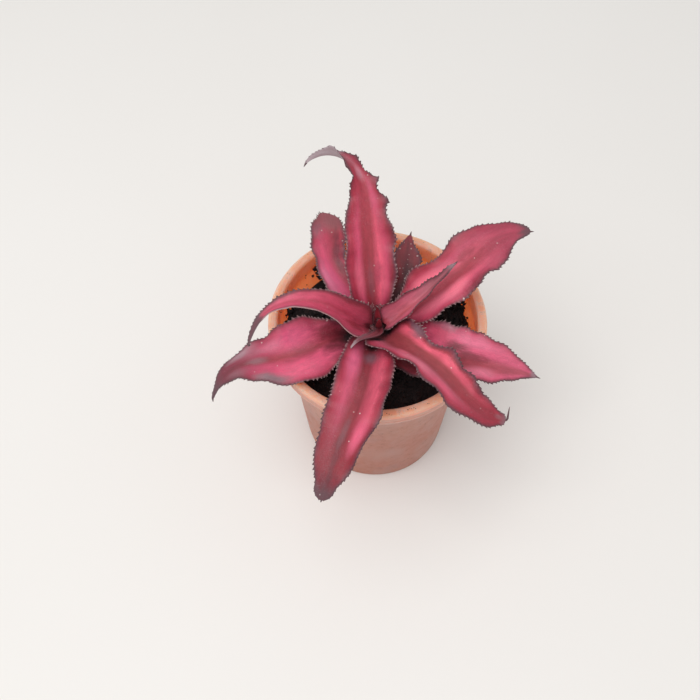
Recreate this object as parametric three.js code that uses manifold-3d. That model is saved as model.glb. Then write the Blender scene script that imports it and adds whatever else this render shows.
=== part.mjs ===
// Earth star bromeliad (Cryptanthus) growing in a small plastic pot.
// Millimetres, +Z up. The origin is the centre of the pot's base, on the surface that the pot stands on.
import * as THREE from "three";
import Module from "manifold-3d";
import { mergeVertices } from "three/addons/utils/BufferGeometryUtils.js";

const wasm = await Module();
wasm.setup();

// ---- Driving dimensions ----
const CLEARANCE = 0.3; // between neighbouring pieces
const POT_HEIGHT = 103;
const RIM_RADIUS = 50;
const RIM_WIDTH = 3.3; // flat top of the rim
const RIM_HEIGHT = 5; // straight band under the rim's edge
const NECK_RADIUS = 42; // where the straight wall ends and the flare to the rim begins
const NECK_HEIGHT = 78;
const BASE_RADIUS = 37.7;
const BASE_FILLET = 2;
const WALL = 2.6;
const LIP = 1; // rounding of the rim's outer edge and bevel of its inner edge
const FLOOR = 3;
const DRAIN_COUNT = 5;
const DRAIN_RADIUS = 4;
const DRAIN_CIRCLE = 24;
const SIDES = 44; // facets round the pot and the soil

const SOIL_HEIGHT = 91; // mean height of the soil's surface above the pot's base
const SOIL_LUMP = 1.3;
const SOIL_RINGS = [1, 0.84, 0.68, 0.52, 0.36, 0.2, 0]; // from the pot's wall in to the stem's hole

const STEM = { x: 0, y: -5, radius: 3.2, tipRadius: 2, rootRadius: 2.6, rootDepth: 24, top: 14 };

const TOOTH = 0.9; // height of the spines along the leaf margins
const HEART_TOOTH = 0.4;
const BLADE_THICKNESS = { rib: 1.3, margin: 0.7 };
const LEAF_STEPS = 26;
const BASE_REACH = 4.4; // from the stem's axis to the middle of a leaf's base
const HEART_REACH = 0.9;

// Rows of points across a blade, as shares of its half width from the rib.
const ACROSS = [-1, -0.55, 0, 0.55, 1];
const CUP = 1.3; // how a folded blade rises from its rib: 1 is a straight V, more is a rounded trough

// Stations along a leaf, as shares of its length: widths are given at the first list, angles at the second.
const WIDTH_AT = [0, 0.18, 0.36, 0.56, 0.76, 0.92, 1];
const ANGLE_AT = [0, 1 / 3, 2 / 3, 1];

// Each leaf: rise = height of its base above the soil; azimuth = the way it leaves the stem, anticlockwise
// from +X; widths across the blade; pitch above the horizontal; turn = how far it swings to the left;
// roll = left margin up; fold = how far each half is raised. Its ruffled margins swing up and down
// by wave and in and out by scallop, so many waves along the leaf, each margin from its own phase.
const LEAVES = {
  small_front_leaf: {
    rise: 1, azimuth: 306, length: 28, widths: [6, 10, 13, 13, 10, 5, 0.8],
    pitch: [32, 19, 7, -6], turn: [0, 5, 8, 47], roll: [0, -5, -6, -1], fold: [24, 14, 8, 4],
    wave: 0.5, scallop: 0.5, waves: 2.6, phases: [0.2, 0.57],
  },
  small_back_leaf: {
    rise: 1.6, azimuth: 67, length: 48, widths: [6, 11, 13, 10, 12, 5, 0.8],
    pitch: [46, 34, 25, 18], turn: [0, -19, 18, 5], roll: [0, 0, 8, -2], fold: [38, 22, 10, 4],
    wave: 0.5, scallop: 1, waves: 2.9, phases: [0.62, 0.72],
  },
  right_leaf: {
    rise: 4, azimuth: 338, length: 73, widths: [8, 19, 24, 25, 19, 7, 0.8],
    pitch: [37, 17, -2, -17], turn: [0, -12, 8, 3], roll: [0, 1, 0, -1], fold: [38, 22, 11, 4],
    wave: 0.7, scallop: 0.5, waves: 7.3, phases: [0.42, 0.59],
  },
  left_leaf: {
    rise: 4.5, azimuth: 194, length: 84, widths: [7, 15, 30, 27, 15, 4, 0.8],
    pitch: [39, 4, -13, -42], turn: [0, 13, -13, 52], roll: [-8, -15, 8, 20], fold: [25, 21, 10, 4],
    wave: 1, scallop: 0.4, waves: 6.1, phases: [0.7, 0.93],
  },
  back_left_leaf: {
    rise: 6, azimuth: 117, length: 65, widths: [8, 15, 20, 14, 16, 11, 0.8],
    pitch: [47, 25, 8, -21], turn: [0, 19, -24, -32], roll: [0, 0, 10, 17], fold: [38, 22, 10, 4],
    wave: 0.6, scallop: 0.5, waves: 7, phases: [0.3, 0.62],
  },
  front_leaf: {
    rise: 6, azimuth: 250, length: 91, widths: [7, 20, 24, 23, 19, 9, 0.8],
    pitch: [47, 23, -10, -38], turn: [0, 12, -5, 0], roll: [0, -9, 13, -9], fold: [38, 22, 10, 4],
    wave: 1.4, scallop: 0.2, waves: 4.6, phases: [0.93, 0.36],
  },
  rear_right_leaf: {
    rise: 8, azimuth: 18, length: 79, widths: [7, 17, 25, 22, 24, 11, 0.8],
    pitch: [44, 37, 23, 15], turn: [0, 4, 15, -28], roll: [6, 12, -1, -10], fold: [39, 23, 6, 7],
    wave: 1.6, scallop: 1.3, waves: 3.4, phases: [0.89, 0.16],
  },
  back_leaf: {
    rise: 11.5, azimuth: 103, length: 94, widths: [7, 22, 23, 16, 7, 4.5, 0.8],
    pitch: [61, 49, 35, -15], turn: [0, -10, 8, 122], roll: [-9, 1, -1, 92], fold: [37, 26, 13, 47],
    wave: 1, scallop: 0.6, waves: 5.8, phases: [0.2, 0.58],
  },
  front_right_leaf: {
    rise: 11, azimuth: 291, length: 79, widths: [9, 26, 18, 20, 14, 8, 0.8],
    pitch: [48, 24, -6, -34], turn: [0, 22, 17, 75], roll: [5, -10, -14, 31], fold: [29, 24, 11, 4],
    wave: 0.7, scallop: 1.1, waves: 5.4, phases: [0.43, 0.02],
  },
  arching_leaf: {
    rise: 13, azimuth: 194, length: 74, widths: [6, 22, 16, 10, 4.5, 2, 0.6],
    pitch: [53, 47, -5, -63], turn: [0, -13, 5, 51], roll: [-29, -30, 7, 19], fold: [45, 48, 25, 20],
    wave: 0.2, scallop: 0.4, waves: 2.8, phases: [0.35, 0.06],
  },
  inner_right_leaf: {
    rise: 13, azimuth: 5, length: 45, widths: [7, 18.5, 16, 10, 4.5, 2.5, 0.6],
    pitch: [60, 48, 45, 41], turn: [0, 8, 19, 24], roll: [14, 21, 5, 0], fold: [52, 58, 45, 35],
    wave: 0.3, scallop: 0.4, waves: 4, phases: [0.22, 0.46],
  },
};

// The heart: the youngest leaves, still rolled round each other on the tip of the stem.
const STRAIGHT = [0, 0, 0, 0];
const SMOOTH = { wave: 0, scallop: 0, waves: 1, phases: [0, 0] };
const HEART = {
  rise: STEM.top + CLEARANCE, // underside of the bud, on the tip of the stem
  budRadius: 1.6,
  budHeight: 5,
  steps: 9,
  leaves: [
    {
      rise: 15.2, azimuth: 110, length: 11, widths: [3, 4, 4.5, 4, 3, 1.8, 0.6],
      pitch: [72, 80, 84, 78], turn: STRAIGHT, roll: STRAIGHT, fold: [40, 48, 50, 40], ...SMOOTH,
    },
    {
      rise: 15.2, azimuth: 310, length: 6, widths: [2.5, 3, 3.5, 3.5, 2.5, 1.5, 0.6],
      pitch: [48, 62, 74, 80], turn: STRAIGHT, roll: STRAIGHT, fold: [40, 45, 45, 40], ...SMOOTH,
    },
    {
      rise: 15.2, azimuth: 226, length: 7, widths: [2.5, 3, 3.5, 3.5, 2.5, 1.5, 0.6],
      pitch: [50, 65, 78, 84], turn: STRAIGHT, roll: STRAIGHT, fold: [40, 45, 45, 40], ...SMOOTH,
    },
    {
      rise: 15.2, azimuth: 280, length: 22, widths: [3, 4.5, 5, 5, 3.5, 2, 0.6],
      pitch: [66, 48, 6, -32], turn: [0, -14, -56, -72], roll: [0, -5, -15, -30], fold: [35, 40, 40, 30],
      ...SMOOTH,
    },
  ],
};

// ---- Materials ----
const finish = (color, roughness) => new THREE.MeshStandardMaterial({ color, roughness, metalness: 0 });
const POT_PLASTIC = finish(0xbf7a5e, 0.6);
const SOIL_DARK = finish(0x1c1614, 1);
const STEM_BROWN = finish(0x5a4038, 0.8);
const LEAF_RED = finish(0xb8445c, 0.45);
const LEAF_DARK = finish(0x6e2a38, 0.5);

// ---- Helpers ----
// Smooth curve through the values held at the stations.
function along(stations, values, s) {
  const last = values.length - 1;
  let i = 0;
  while (i < last - 1 && s > stations[i + 1]) i += 1;
  const slope = (k) => {
    const a = Math.max(k - 1, 0);
    const b = Math.min(k + 1, last);
    return (values[b] - values[a]) / (stations[b] - stations[a]);
  };
  const span = stations[i + 1] - stations[i];
  const t = (s - stations[i]) / span;
  return (
    (2 * t ** 3 - 3 * t ** 2 + 1) * values[i] +
    (t ** 3 - 2 * t ** 2 + t) * span * slope(i) +
    (3 * t ** 2 - 2 * t ** 3) * values[i + 1] +
    (t ** 3 - t ** 2) * span * slope(i + 1)
  );
}

const radians = THREE.MathUtils.degToRad;

function geometryFrom(points, triangles) {
  const geometry = new THREE.BufferGeometry();
  geometry.setAttribute("position", new THREE.Float32BufferAttribute(points.flat(), 3));
  geometry.setIndex(triangles.flat());
  return geometry;
}

// A closed geometry as a manifold-3d solid, and back.
function toSolid(geometry) {
  const bare = new THREE.BufferGeometry();
  bare.setAttribute("position", geometry.getAttribute("position"));
  bare.setIndex(geometry.index);
  const merged = mergeVertices(bare, 1e-3);
  const index = merged.index.array;
  const kept = [];
  for (let i = 0; i < index.length; i += 3) {
    const [a, b, c] = index.slice(i, i + 3);
    if (a !== b && b !== c && c !== a) kept.push(a, b, c);
  }
  return new wasm.Manifold(
    new wasm.Mesh({
      numProp: 3,
      vertProperties: merged.attributes.position.array,
      triVerts: new Uint32Array(kept),
    }),
  );
}

function toGeometry(solid) {
  const mesh = solid.getMesh();
  const geometry = new THREE.BufferGeometry();
  geometry.setAttribute("position", new THREE.BufferAttribute(mesh.vertProperties, 3));
  geometry.setIndex(new THREE.BufferAttribute(mesh.triVerts, 1));
  return geometry;
}

// A closed skin over rings of points, from the first ring's middle to the last one's.
function skin(rings) {
  const count = rings[0].length;
  const middle = (ring) => [0, 1, 2].map((k) => ring.reduce((sum, p) => sum + p[k], 0) / count);
  const points = [middle(rings[0]), ...rings.flat(), middle(rings.at(-1))];
  const at = (ring, i) => 1 + ring * count + (i % count);
  const triangles = [];
  for (let i = 0; i < count; i += 1) {
    triangles.push([0, at(0, i + 1), at(0, i)]);
    for (let r = 0; r < rings.length - 1; r += 1) {
      triangles.push([at(r, i), at(r, i + 1), at(r + 1, i)], [at(r, i + 1), at(r + 1, i + 1), at(r + 1, i)]);
    }
    triangles.push([points.length - 1, at(rings.length - 1, i), at(rings.length - 1, i + 1)]);
  }
  return geometryFrom(points, triangles);
}

function circle(x, y, radius, height, sides) {
  return Array.from({ length: sides }, (_, i) => {
    const turn = (2 * Math.PI * i) / sides;
    return [x + radius * Math.cos(turn), y + radius * Math.sin(turn), height];
  });
}

// ---- Pot ----
// Radius of the pot's outside at a height: a straight taper, then a soft flare up to the rim.
function potRadius(z) {
  if (z < NECK_HEIGHT) return THREE.MathUtils.lerp(BASE_RADIUS, NECK_RADIUS, z / NECK_HEIGHT);
  const t = Math.min((z - NECK_HEIGHT) / (POT_HEIGHT - RIM_HEIGHT - NECK_HEIGHT), 1);
  const straight = ((NECK_RADIUS - BASE_RADIUS) / NECK_HEIGHT) * (z - NECK_HEIGHT);
  return THREE.MathUtils.lerp(NECK_RADIUS + straight, RIM_RADIUS, THREE.MathUtils.smoothstep(t, 0, 1));
}
const innerRadius = (z) => Math.min(potRadius(z) - WALL, RIM_RADIUS - RIM_WIDTH - 1);

function makePot() {
  const outside = [[0, 0]];
  for (const turn of [-90, -60, -30, 0]) {
    const x = BASE_RADIUS - BASE_FILLET + BASE_FILLET * Math.cos(radians(turn));
    outside.push([x, BASE_FILLET + BASE_FILLET * Math.sin(radians(turn))]);
  }
  const flareHeight = POT_HEIGHT - RIM_HEIGHT - NECK_HEIGHT;
  const flare = [0, 0.2, 0.4, 0.6, 0.8, 1].map((t) => NECK_HEIGHT + t * flareHeight);
  for (const z of [30, 55, ...flare]) outside.push([potRadius(z), z]);
  outside.push([RIM_RADIUS, POT_HEIGHT - LIP]);
  outside.push([RIM_RADIUS - 0.3 * LIP, POT_HEIGHT - 0.3 * LIP]);
  outside.push([RIM_RADIUS - LIP, POT_HEIGHT]);
  const inside = [
    [RIM_RADIUS - RIM_WIDTH, POT_HEIGHT],
    [RIM_RADIUS - RIM_WIDTH - LIP, POT_HEIGHT - LIP],
  ];
  for (const z of [...flare.reverse(), 55, 30, FLOOR + 1]) inside.push([innerRadius(z), z]);
  inside.push([innerRadius(FLOOR) - 1, FLOOR], [0, FLOOR]);
  const profile = [...outside, ...inside].map(([r, z]) => new THREE.Vector2(r, z));
  let pot = toSolid(new THREE.LatheGeometry(profile, SIDES).rotateX(Math.PI / 2));
  for (let i = 0; i < DRAIN_COUNT; i += 1) {
    const turn = (2 * Math.PI * i) / DRAIN_COUNT;
    const drain = new THREE.CylinderGeometry(DRAIN_RADIUS, DRAIN_RADIUS, 4 * FLOOR, 12).rotateX(Math.PI / 2);
    drain.translate(DRAIN_CIRCLE * Math.cos(turn), DRAIN_CIRCLE * Math.sin(turn), 0);
    pot = pot.subtract(toSolid(drain));
  }
  return toGeometry(pot);
}

// ---- Soil ----
// Height of the soil's lumpy surface at a place.
function soilTop(x, y) {
  const lumps =
    Math.sin(0.31 * x + 1.2) * Math.cos(0.27 * y - 0.4) + 0.6 * Math.sin(0.63 * x - 0.5 * y) +
    0.4 * Math.cos(0.9 * y + 0.7 * x + 2);
  return SOIL_HEIGHT + (SOIL_LUMP / 2) * lumps;
}

function makeSoil() {
  const bottom = FLOOR + CLEARANCE;
  const wallRing = (z) => circle(0, 0, innerRadius(z) - CLEARANCE, z, SIDES);
  const rings = [
    circle(0, 0, innerRadius(bottom) - 1.5, bottom, SIDES),
    ...[10, 30, 55, NECK_HEIGHT, NECK_HEIGHT + 4, NECK_HEIGHT + 8].map(wallRing),
  ];
  // From the wall inwards, each ring of the surface shifts from the pot's axis to the stem's.
  const wallRadius = innerRadius(SOIL_HEIGHT - 2 * SOIL_LUMP) - CLEARANCE;
  const holeRadius = STEM.radius + CLEARANCE;
  for (const share of SOIL_RINGS) {
    const radius = THREE.MathUtils.lerp(holeRadius, wallRadius, share);
    const x = STEM.x * (1 - share);
    const y = STEM.y * (1 - share);
    const flat = circle(x, y, radius, 0, SIDES);
    rings.push(flat.map(([px, py]) => [px, py, soilTop(px, py)]));
  }
  rings.push(circle(STEM.x, STEM.y, holeRadius, SOIL_HEIGHT - STEM.rootDepth - CLEARANCE, SIDES));
  return skin(rings);
}

// ---- Stem ----
function makeStem() {
  const sides = 16;
  const level = (radius, rise) => circle(STEM.x, STEM.y, radius, SOIL_HEIGHT + rise, sides);
  return skin([
    level(0.5 * STEM.rootRadius, -STEM.rootDepth),
    level(STEM.rootRadius, -STEM.rootDepth + 2),
    level(STEM.radius, -4),
    level(STEM.radius, STEM.top - 2.5),
    level(STEM.tipRadius, STEM.top),
  ]);
}

// ---- Leaves ----
// The leaf's rib as a row of frames: a point, the way to the left margin and the way up from the blade.
function ribFrames(leaf, steps, reach) {
  const angle = (values, s) => radians(along(ANGLE_AT, values, s));
  const heading = (s) => {
    const flat = radians(leaf.azimuth) + angle(leaf.turn, s);
    const pitch = angle(leaf.pitch, s);
    return new THREE.Vector3(
      Math.cos(pitch) * Math.cos(flat), Math.cos(pitch) * Math.sin(flat), Math.sin(pitch));
  };
  const out = radians(leaf.azimuth);
  const rib = new THREE.Vector3(
    STEM.x + reach * Math.cos(out), STEM.y + reach * Math.sin(out), SOIL_HEIGHT + leaf.rise);
  const frames = [];
  for (let i = 0; i <= steps; i += 1) {
    const s = i / steps;
    if (i > 0) rib.addScaledVector(heading((i - 0.5) / steps), leaf.length / steps);
    const flat = radians(leaf.azimuth) + angle(leaf.turn, s);
    const side = new THREE.Vector3(-Math.sin(flat), Math.cos(flat), 0);
    const lift = heading(s).cross(side);
    const roll = angle(leaf.roll, s);
    frames.push({
      s,
      point: rib.clone(),
      left: side.clone().multiplyScalar(Math.cos(roll)).addScaledVector(lift, Math.sin(roll)),
      up: lift.clone().multiplyScalar(Math.cos(roll)).addScaledVector(side, -Math.sin(roll)),
    });
  }
  return frames;
}

// A closed blade: two alike sheets of triangles, the margins ruffled and cut into teeth.
function makeBlade(leaf, steps, reach, toothHeight) {
  const fine = ribFrames(leaf, 2 * steps, reach);
  // The point at share u across the blade, on its lower (-1) or upper (1) face.
  const pointAt = (frame, u, face, tooth) => {
    const half = along(WIDTH_AT, leaf.widths, frame.s) / 2;
    const fold = radians(along(ANGLE_AT, leaf.fold, frame.s));
    const off = Math.abs(u);
    const swell = Math.sin(Math.PI * frame.s) * off ** 3;
    const swing = 2 * Math.PI * (leaf.waves * frame.s + leaf.phases[u < 0 ? 0 : 1]);
    const thick = THREE.MathUtils.lerp(BLADE_THICKNESS.rib, BLADE_THICKNESS.margin, off);
    const ruffle = swell * leaf.wave * Math.sin(swing);
    const rise = half * off ** CUP * Math.sin(fold) + ruffle + (face * thick) / 2;
    const spread = half * off * Math.cos(fold) + swell * leaf.scallop * Math.cos(swing) + tooth;
    const outward = -Math.sign(u) * spread;
    return frame.point.clone().addScaledVector(frame.left, outward).addScaledVector(frame.up, rise).toArray();
  };
  const points = [];
  const rows = [-1, 1].map((face) =>
    ACROSS.map((u) => {
      const margin = Math.abs(u) === 1;
      return fine
        .filter((_, i) => margin || i % 2 === 0)
        .map((frame, i, list) => {
          const spine = margin && i % 2 === 1 && i < list.length - 2;
          points.push(pointAt(frame, u, face, spine ? toothHeight : 0));
          return points.length - 1;
        });
    }),
  );
  const triangles = [];
  // A strip between two rows, where the second may have twice the points of the first.
  const strip = (a, b, flip) => {
    const add = (p, q, r) => triangles.push(flip ? [p, r, q] : [p, q, r]);
    const doubled = b.length > a.length;
    for (let i = 0; i < a.length - 1; i += 1) {
      if (doubled) {
        add(a[i], b[2 * i + 1], b[2 * i]);
        add(a[i], a[i + 1], b[2 * i + 1]);
        add(a[i + 1], b[2 * i + 2], b[2 * i + 1]);
      } else {
        add(a[i], a[i + 1], b[i]);
        add(a[i + 1], b[i + 1], b[i]);
      }
    }
  };
  rows.forEach((row, face) => {
    strip(row[1], row[0], face === 0);
    strip(row[1], row[2], face === 1);
    strip(row[3], row[2], face === 0);
    strip(row[3], row[4], face === 1);
  });
  const [low, high] = rows;
  strip(low[0], high[0], true);
  strip(low[4], high[4], false);
  for (let k = 0; k < 4; k += 1) {
    triangles.push([low[k][0], low[k + 1][0], high[k][0]], [high[k][0], low[k + 1][0], high[k + 1][0]]);
    const [a, b, c, d] = [low[k].at(-1), low[k + 1].at(-1), high[k].at(-1), high[k + 1].at(-1)];
    triangles.push([a, c, b], [b, c, d]);
  }
  return geometryFrom(points, triangles);
}

function makeHeart() {
  const level = (radius, rise) => circle(STEM.x, STEM.y, radius, SOIL_HEIGHT + HEART.rise + rise, 12);
  const bud = skin([
    level(HEART.budRadius, 0),
    level(HEART.budRadius, 0.6 * HEART.budHeight),
    level(0.4 * HEART.budRadius, HEART.budHeight),
  ]);
  const blades = HEART.leaves.map((leaf) => toSolid(makeBlade(leaf, HEART.steps, HEART_REACH, HEART_TOOTH)));
  return toGeometry(blades.reduce((whole, blade) => whole.add(blade), toSolid(bud)));
}

// ---- Assembly ----
const plant = new THREE.Group();
function add(name, geometry, material) {
  const mesh = new THREE.Mesh(geometry, material);
  mesh.name = name;
  plant.add(mesh);
}

add("pot", makePot(), POT_PLASTIC);
add("soil", makeSoil(), SOIL_DARK);
add("stem", makeStem(), STEM_BROWN);
for (const [name, leaf] of Object.entries(LEAVES)) {
  add(name, makeBlade(leaf, LEAF_STEPS, BASE_REACH, TOOTH), name.startsWith("small") ? LEAF_DARK : LEAF_RED);
}
add("heart", makeHeart(), LEAF_DARK);

export default plant;
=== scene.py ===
"""Looks of the earth star bromeliad in its pot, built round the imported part. Blender 4.5, metres, +Z up."""

import math

import bmesh
import bpy
import numpy as np
from mathutils import Matrix, Vector


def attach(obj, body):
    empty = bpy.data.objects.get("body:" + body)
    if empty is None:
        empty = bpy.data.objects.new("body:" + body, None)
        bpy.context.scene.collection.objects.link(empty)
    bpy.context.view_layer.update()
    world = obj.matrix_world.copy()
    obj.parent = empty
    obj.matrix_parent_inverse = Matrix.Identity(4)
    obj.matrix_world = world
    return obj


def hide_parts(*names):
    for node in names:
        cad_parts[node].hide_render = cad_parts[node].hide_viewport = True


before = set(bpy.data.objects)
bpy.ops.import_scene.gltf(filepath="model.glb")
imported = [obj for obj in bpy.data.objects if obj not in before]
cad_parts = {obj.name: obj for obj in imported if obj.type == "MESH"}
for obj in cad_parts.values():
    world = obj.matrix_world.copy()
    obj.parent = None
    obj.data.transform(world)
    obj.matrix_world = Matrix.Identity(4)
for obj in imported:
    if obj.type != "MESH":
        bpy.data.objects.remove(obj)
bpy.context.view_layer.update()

MM = 0.001
rng = np.random.default_rng(7)

# ---- Sizes shared with the solids, in millimetres ----
POT_HEIGHT = 103
RIM_RADIUS = 50
RIM_WIDTH = 3.3
RIM_HEIGHT = 5
NECK_RADIUS = 42
NECK_HEIGHT = 78
BASE_RADIUS = 37.7
BASE_FILLET = 2
WALL = 2.6
LIP = 1
FLOOR = 3
DRAINS = {"count": 5, "radius": 4, "circle": 24}
CLEARANCE = 0.3
SOIL_HEIGHT = 91
SOIL_LUMP = 1.3
HOLLOW = {"x": -31, "y": 31, "reach": 8.5, "depth": 7}  # where the soil has sunk at the back left
STEM = {"x": 0, "y": -5, "radius": 3.2, "tip_radius": 2, "root_radius": 2.6, "root_depth": 24, "top": 14}
BASE_REACH = 4.4  # from the stem's axis to the middle of a leaf's base
HEART_REACH = 0.9
WIDTH_AT = [0, 0.18, 0.36, 0.56, 0.76, 0.92, 1]
ANGLE_AT = [0, 1 / 3, 2 / 3, 1]

# ---- Finer sizes of the looks, in millimetres ----
BLADE = {"rib": 1.2, "margin": 0.5, "trough": 0.24, "columns": 27}  # trough = rounding of the fold at the rib
SPINE = {"pitch": 1.8, "height": 0.7, "base": 1.3, "thick": 0.45, "lean": 30, "web": 0.34}
SPINE_SECTIONS = [(-0.25, 1, 0), (0.3, 0.64, 0.02), (0.72, 0.32, 0.12)]  # share of height, of girth, bend
LEAF_ROWS = {"least": 160, "per_mm": 5}
HEART_ROWS = {"least": 60, "per_mm": 7, "columns": 15}
END_ROWS = 26
POT_SIDES = 168
HOLE_SIDES = 32
STEM_SIDES = 40
STEM_RINGS = 19
BUD_SIDES = 20

# ---- Finer sizes of the soil, in millimetres and degrees ----
SOIL_SIDES = 160
SOIL_RINGS = 90
SOIL_FALL = {"from": 30, "depth": 3}  # the surface falls towards the wall from that radius on
LOOSE_CRUMBS = {"count": 1500, "sizes": [0.45, 0.7, 1.1, 1.6], "odds": [0.5, 0.3, 0.15, 0.05]}
WALL_CLUMPS = 210
# Heaps of clumps against the wall: angle, spread of the angle, height, count.
HEAPS = [(128.5, 1.8, 14, 34), (155, 4.5, 3, 20), (20, 5, 2.5, 14), (172, 7, 3, 18)]
# Small crumbs that stick to the wall: from an angle, to an angle, height, count.
STUCK_CRUMBS = [(100, 200, 12, 34), (-60, 60, 10, 14)]
RIM_CRUMBS_AT = [272.5, 273.6, 274.9, 283.5, 284.6, 285.4, 286.7, 287.5, 294.2, 294.9, 60, 131, 148]

# ---- Daylight and floor, in metres ----
SKY = {"colour": (0.98, 0.99, 1, 1), "strength": 0.62}
LAMP = {"place": (-0.35, -0.35, 1.35), "aim": (0, 0, 0.1), "size": 1.2, "watts": 12.3}
FLOOR_REACH = 3

# ---- Palette: colours as seen on a screen, 0 to 255 ----
CORAL = (232, 94, 120)
PINK = (216, 83, 117)
ROSE = (192, 70, 98)
CRIMSON = (174, 52, 74)
DUSTY = (176, 74, 92)
MAUVE = (188, 96, 116)
MAROON = (160, 56, 68)
DUSK = (142, 50, 62)
WINE = (100, 28, 40)
DEEP = (40, 12, 18)
PLUM = (106, 52, 66)
SLATE = (92, 68, 74)
ASH = (144, 120, 126)
SILVER = (204, 186, 190)
LEAF_ROUGHNESS = 0.36

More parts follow.
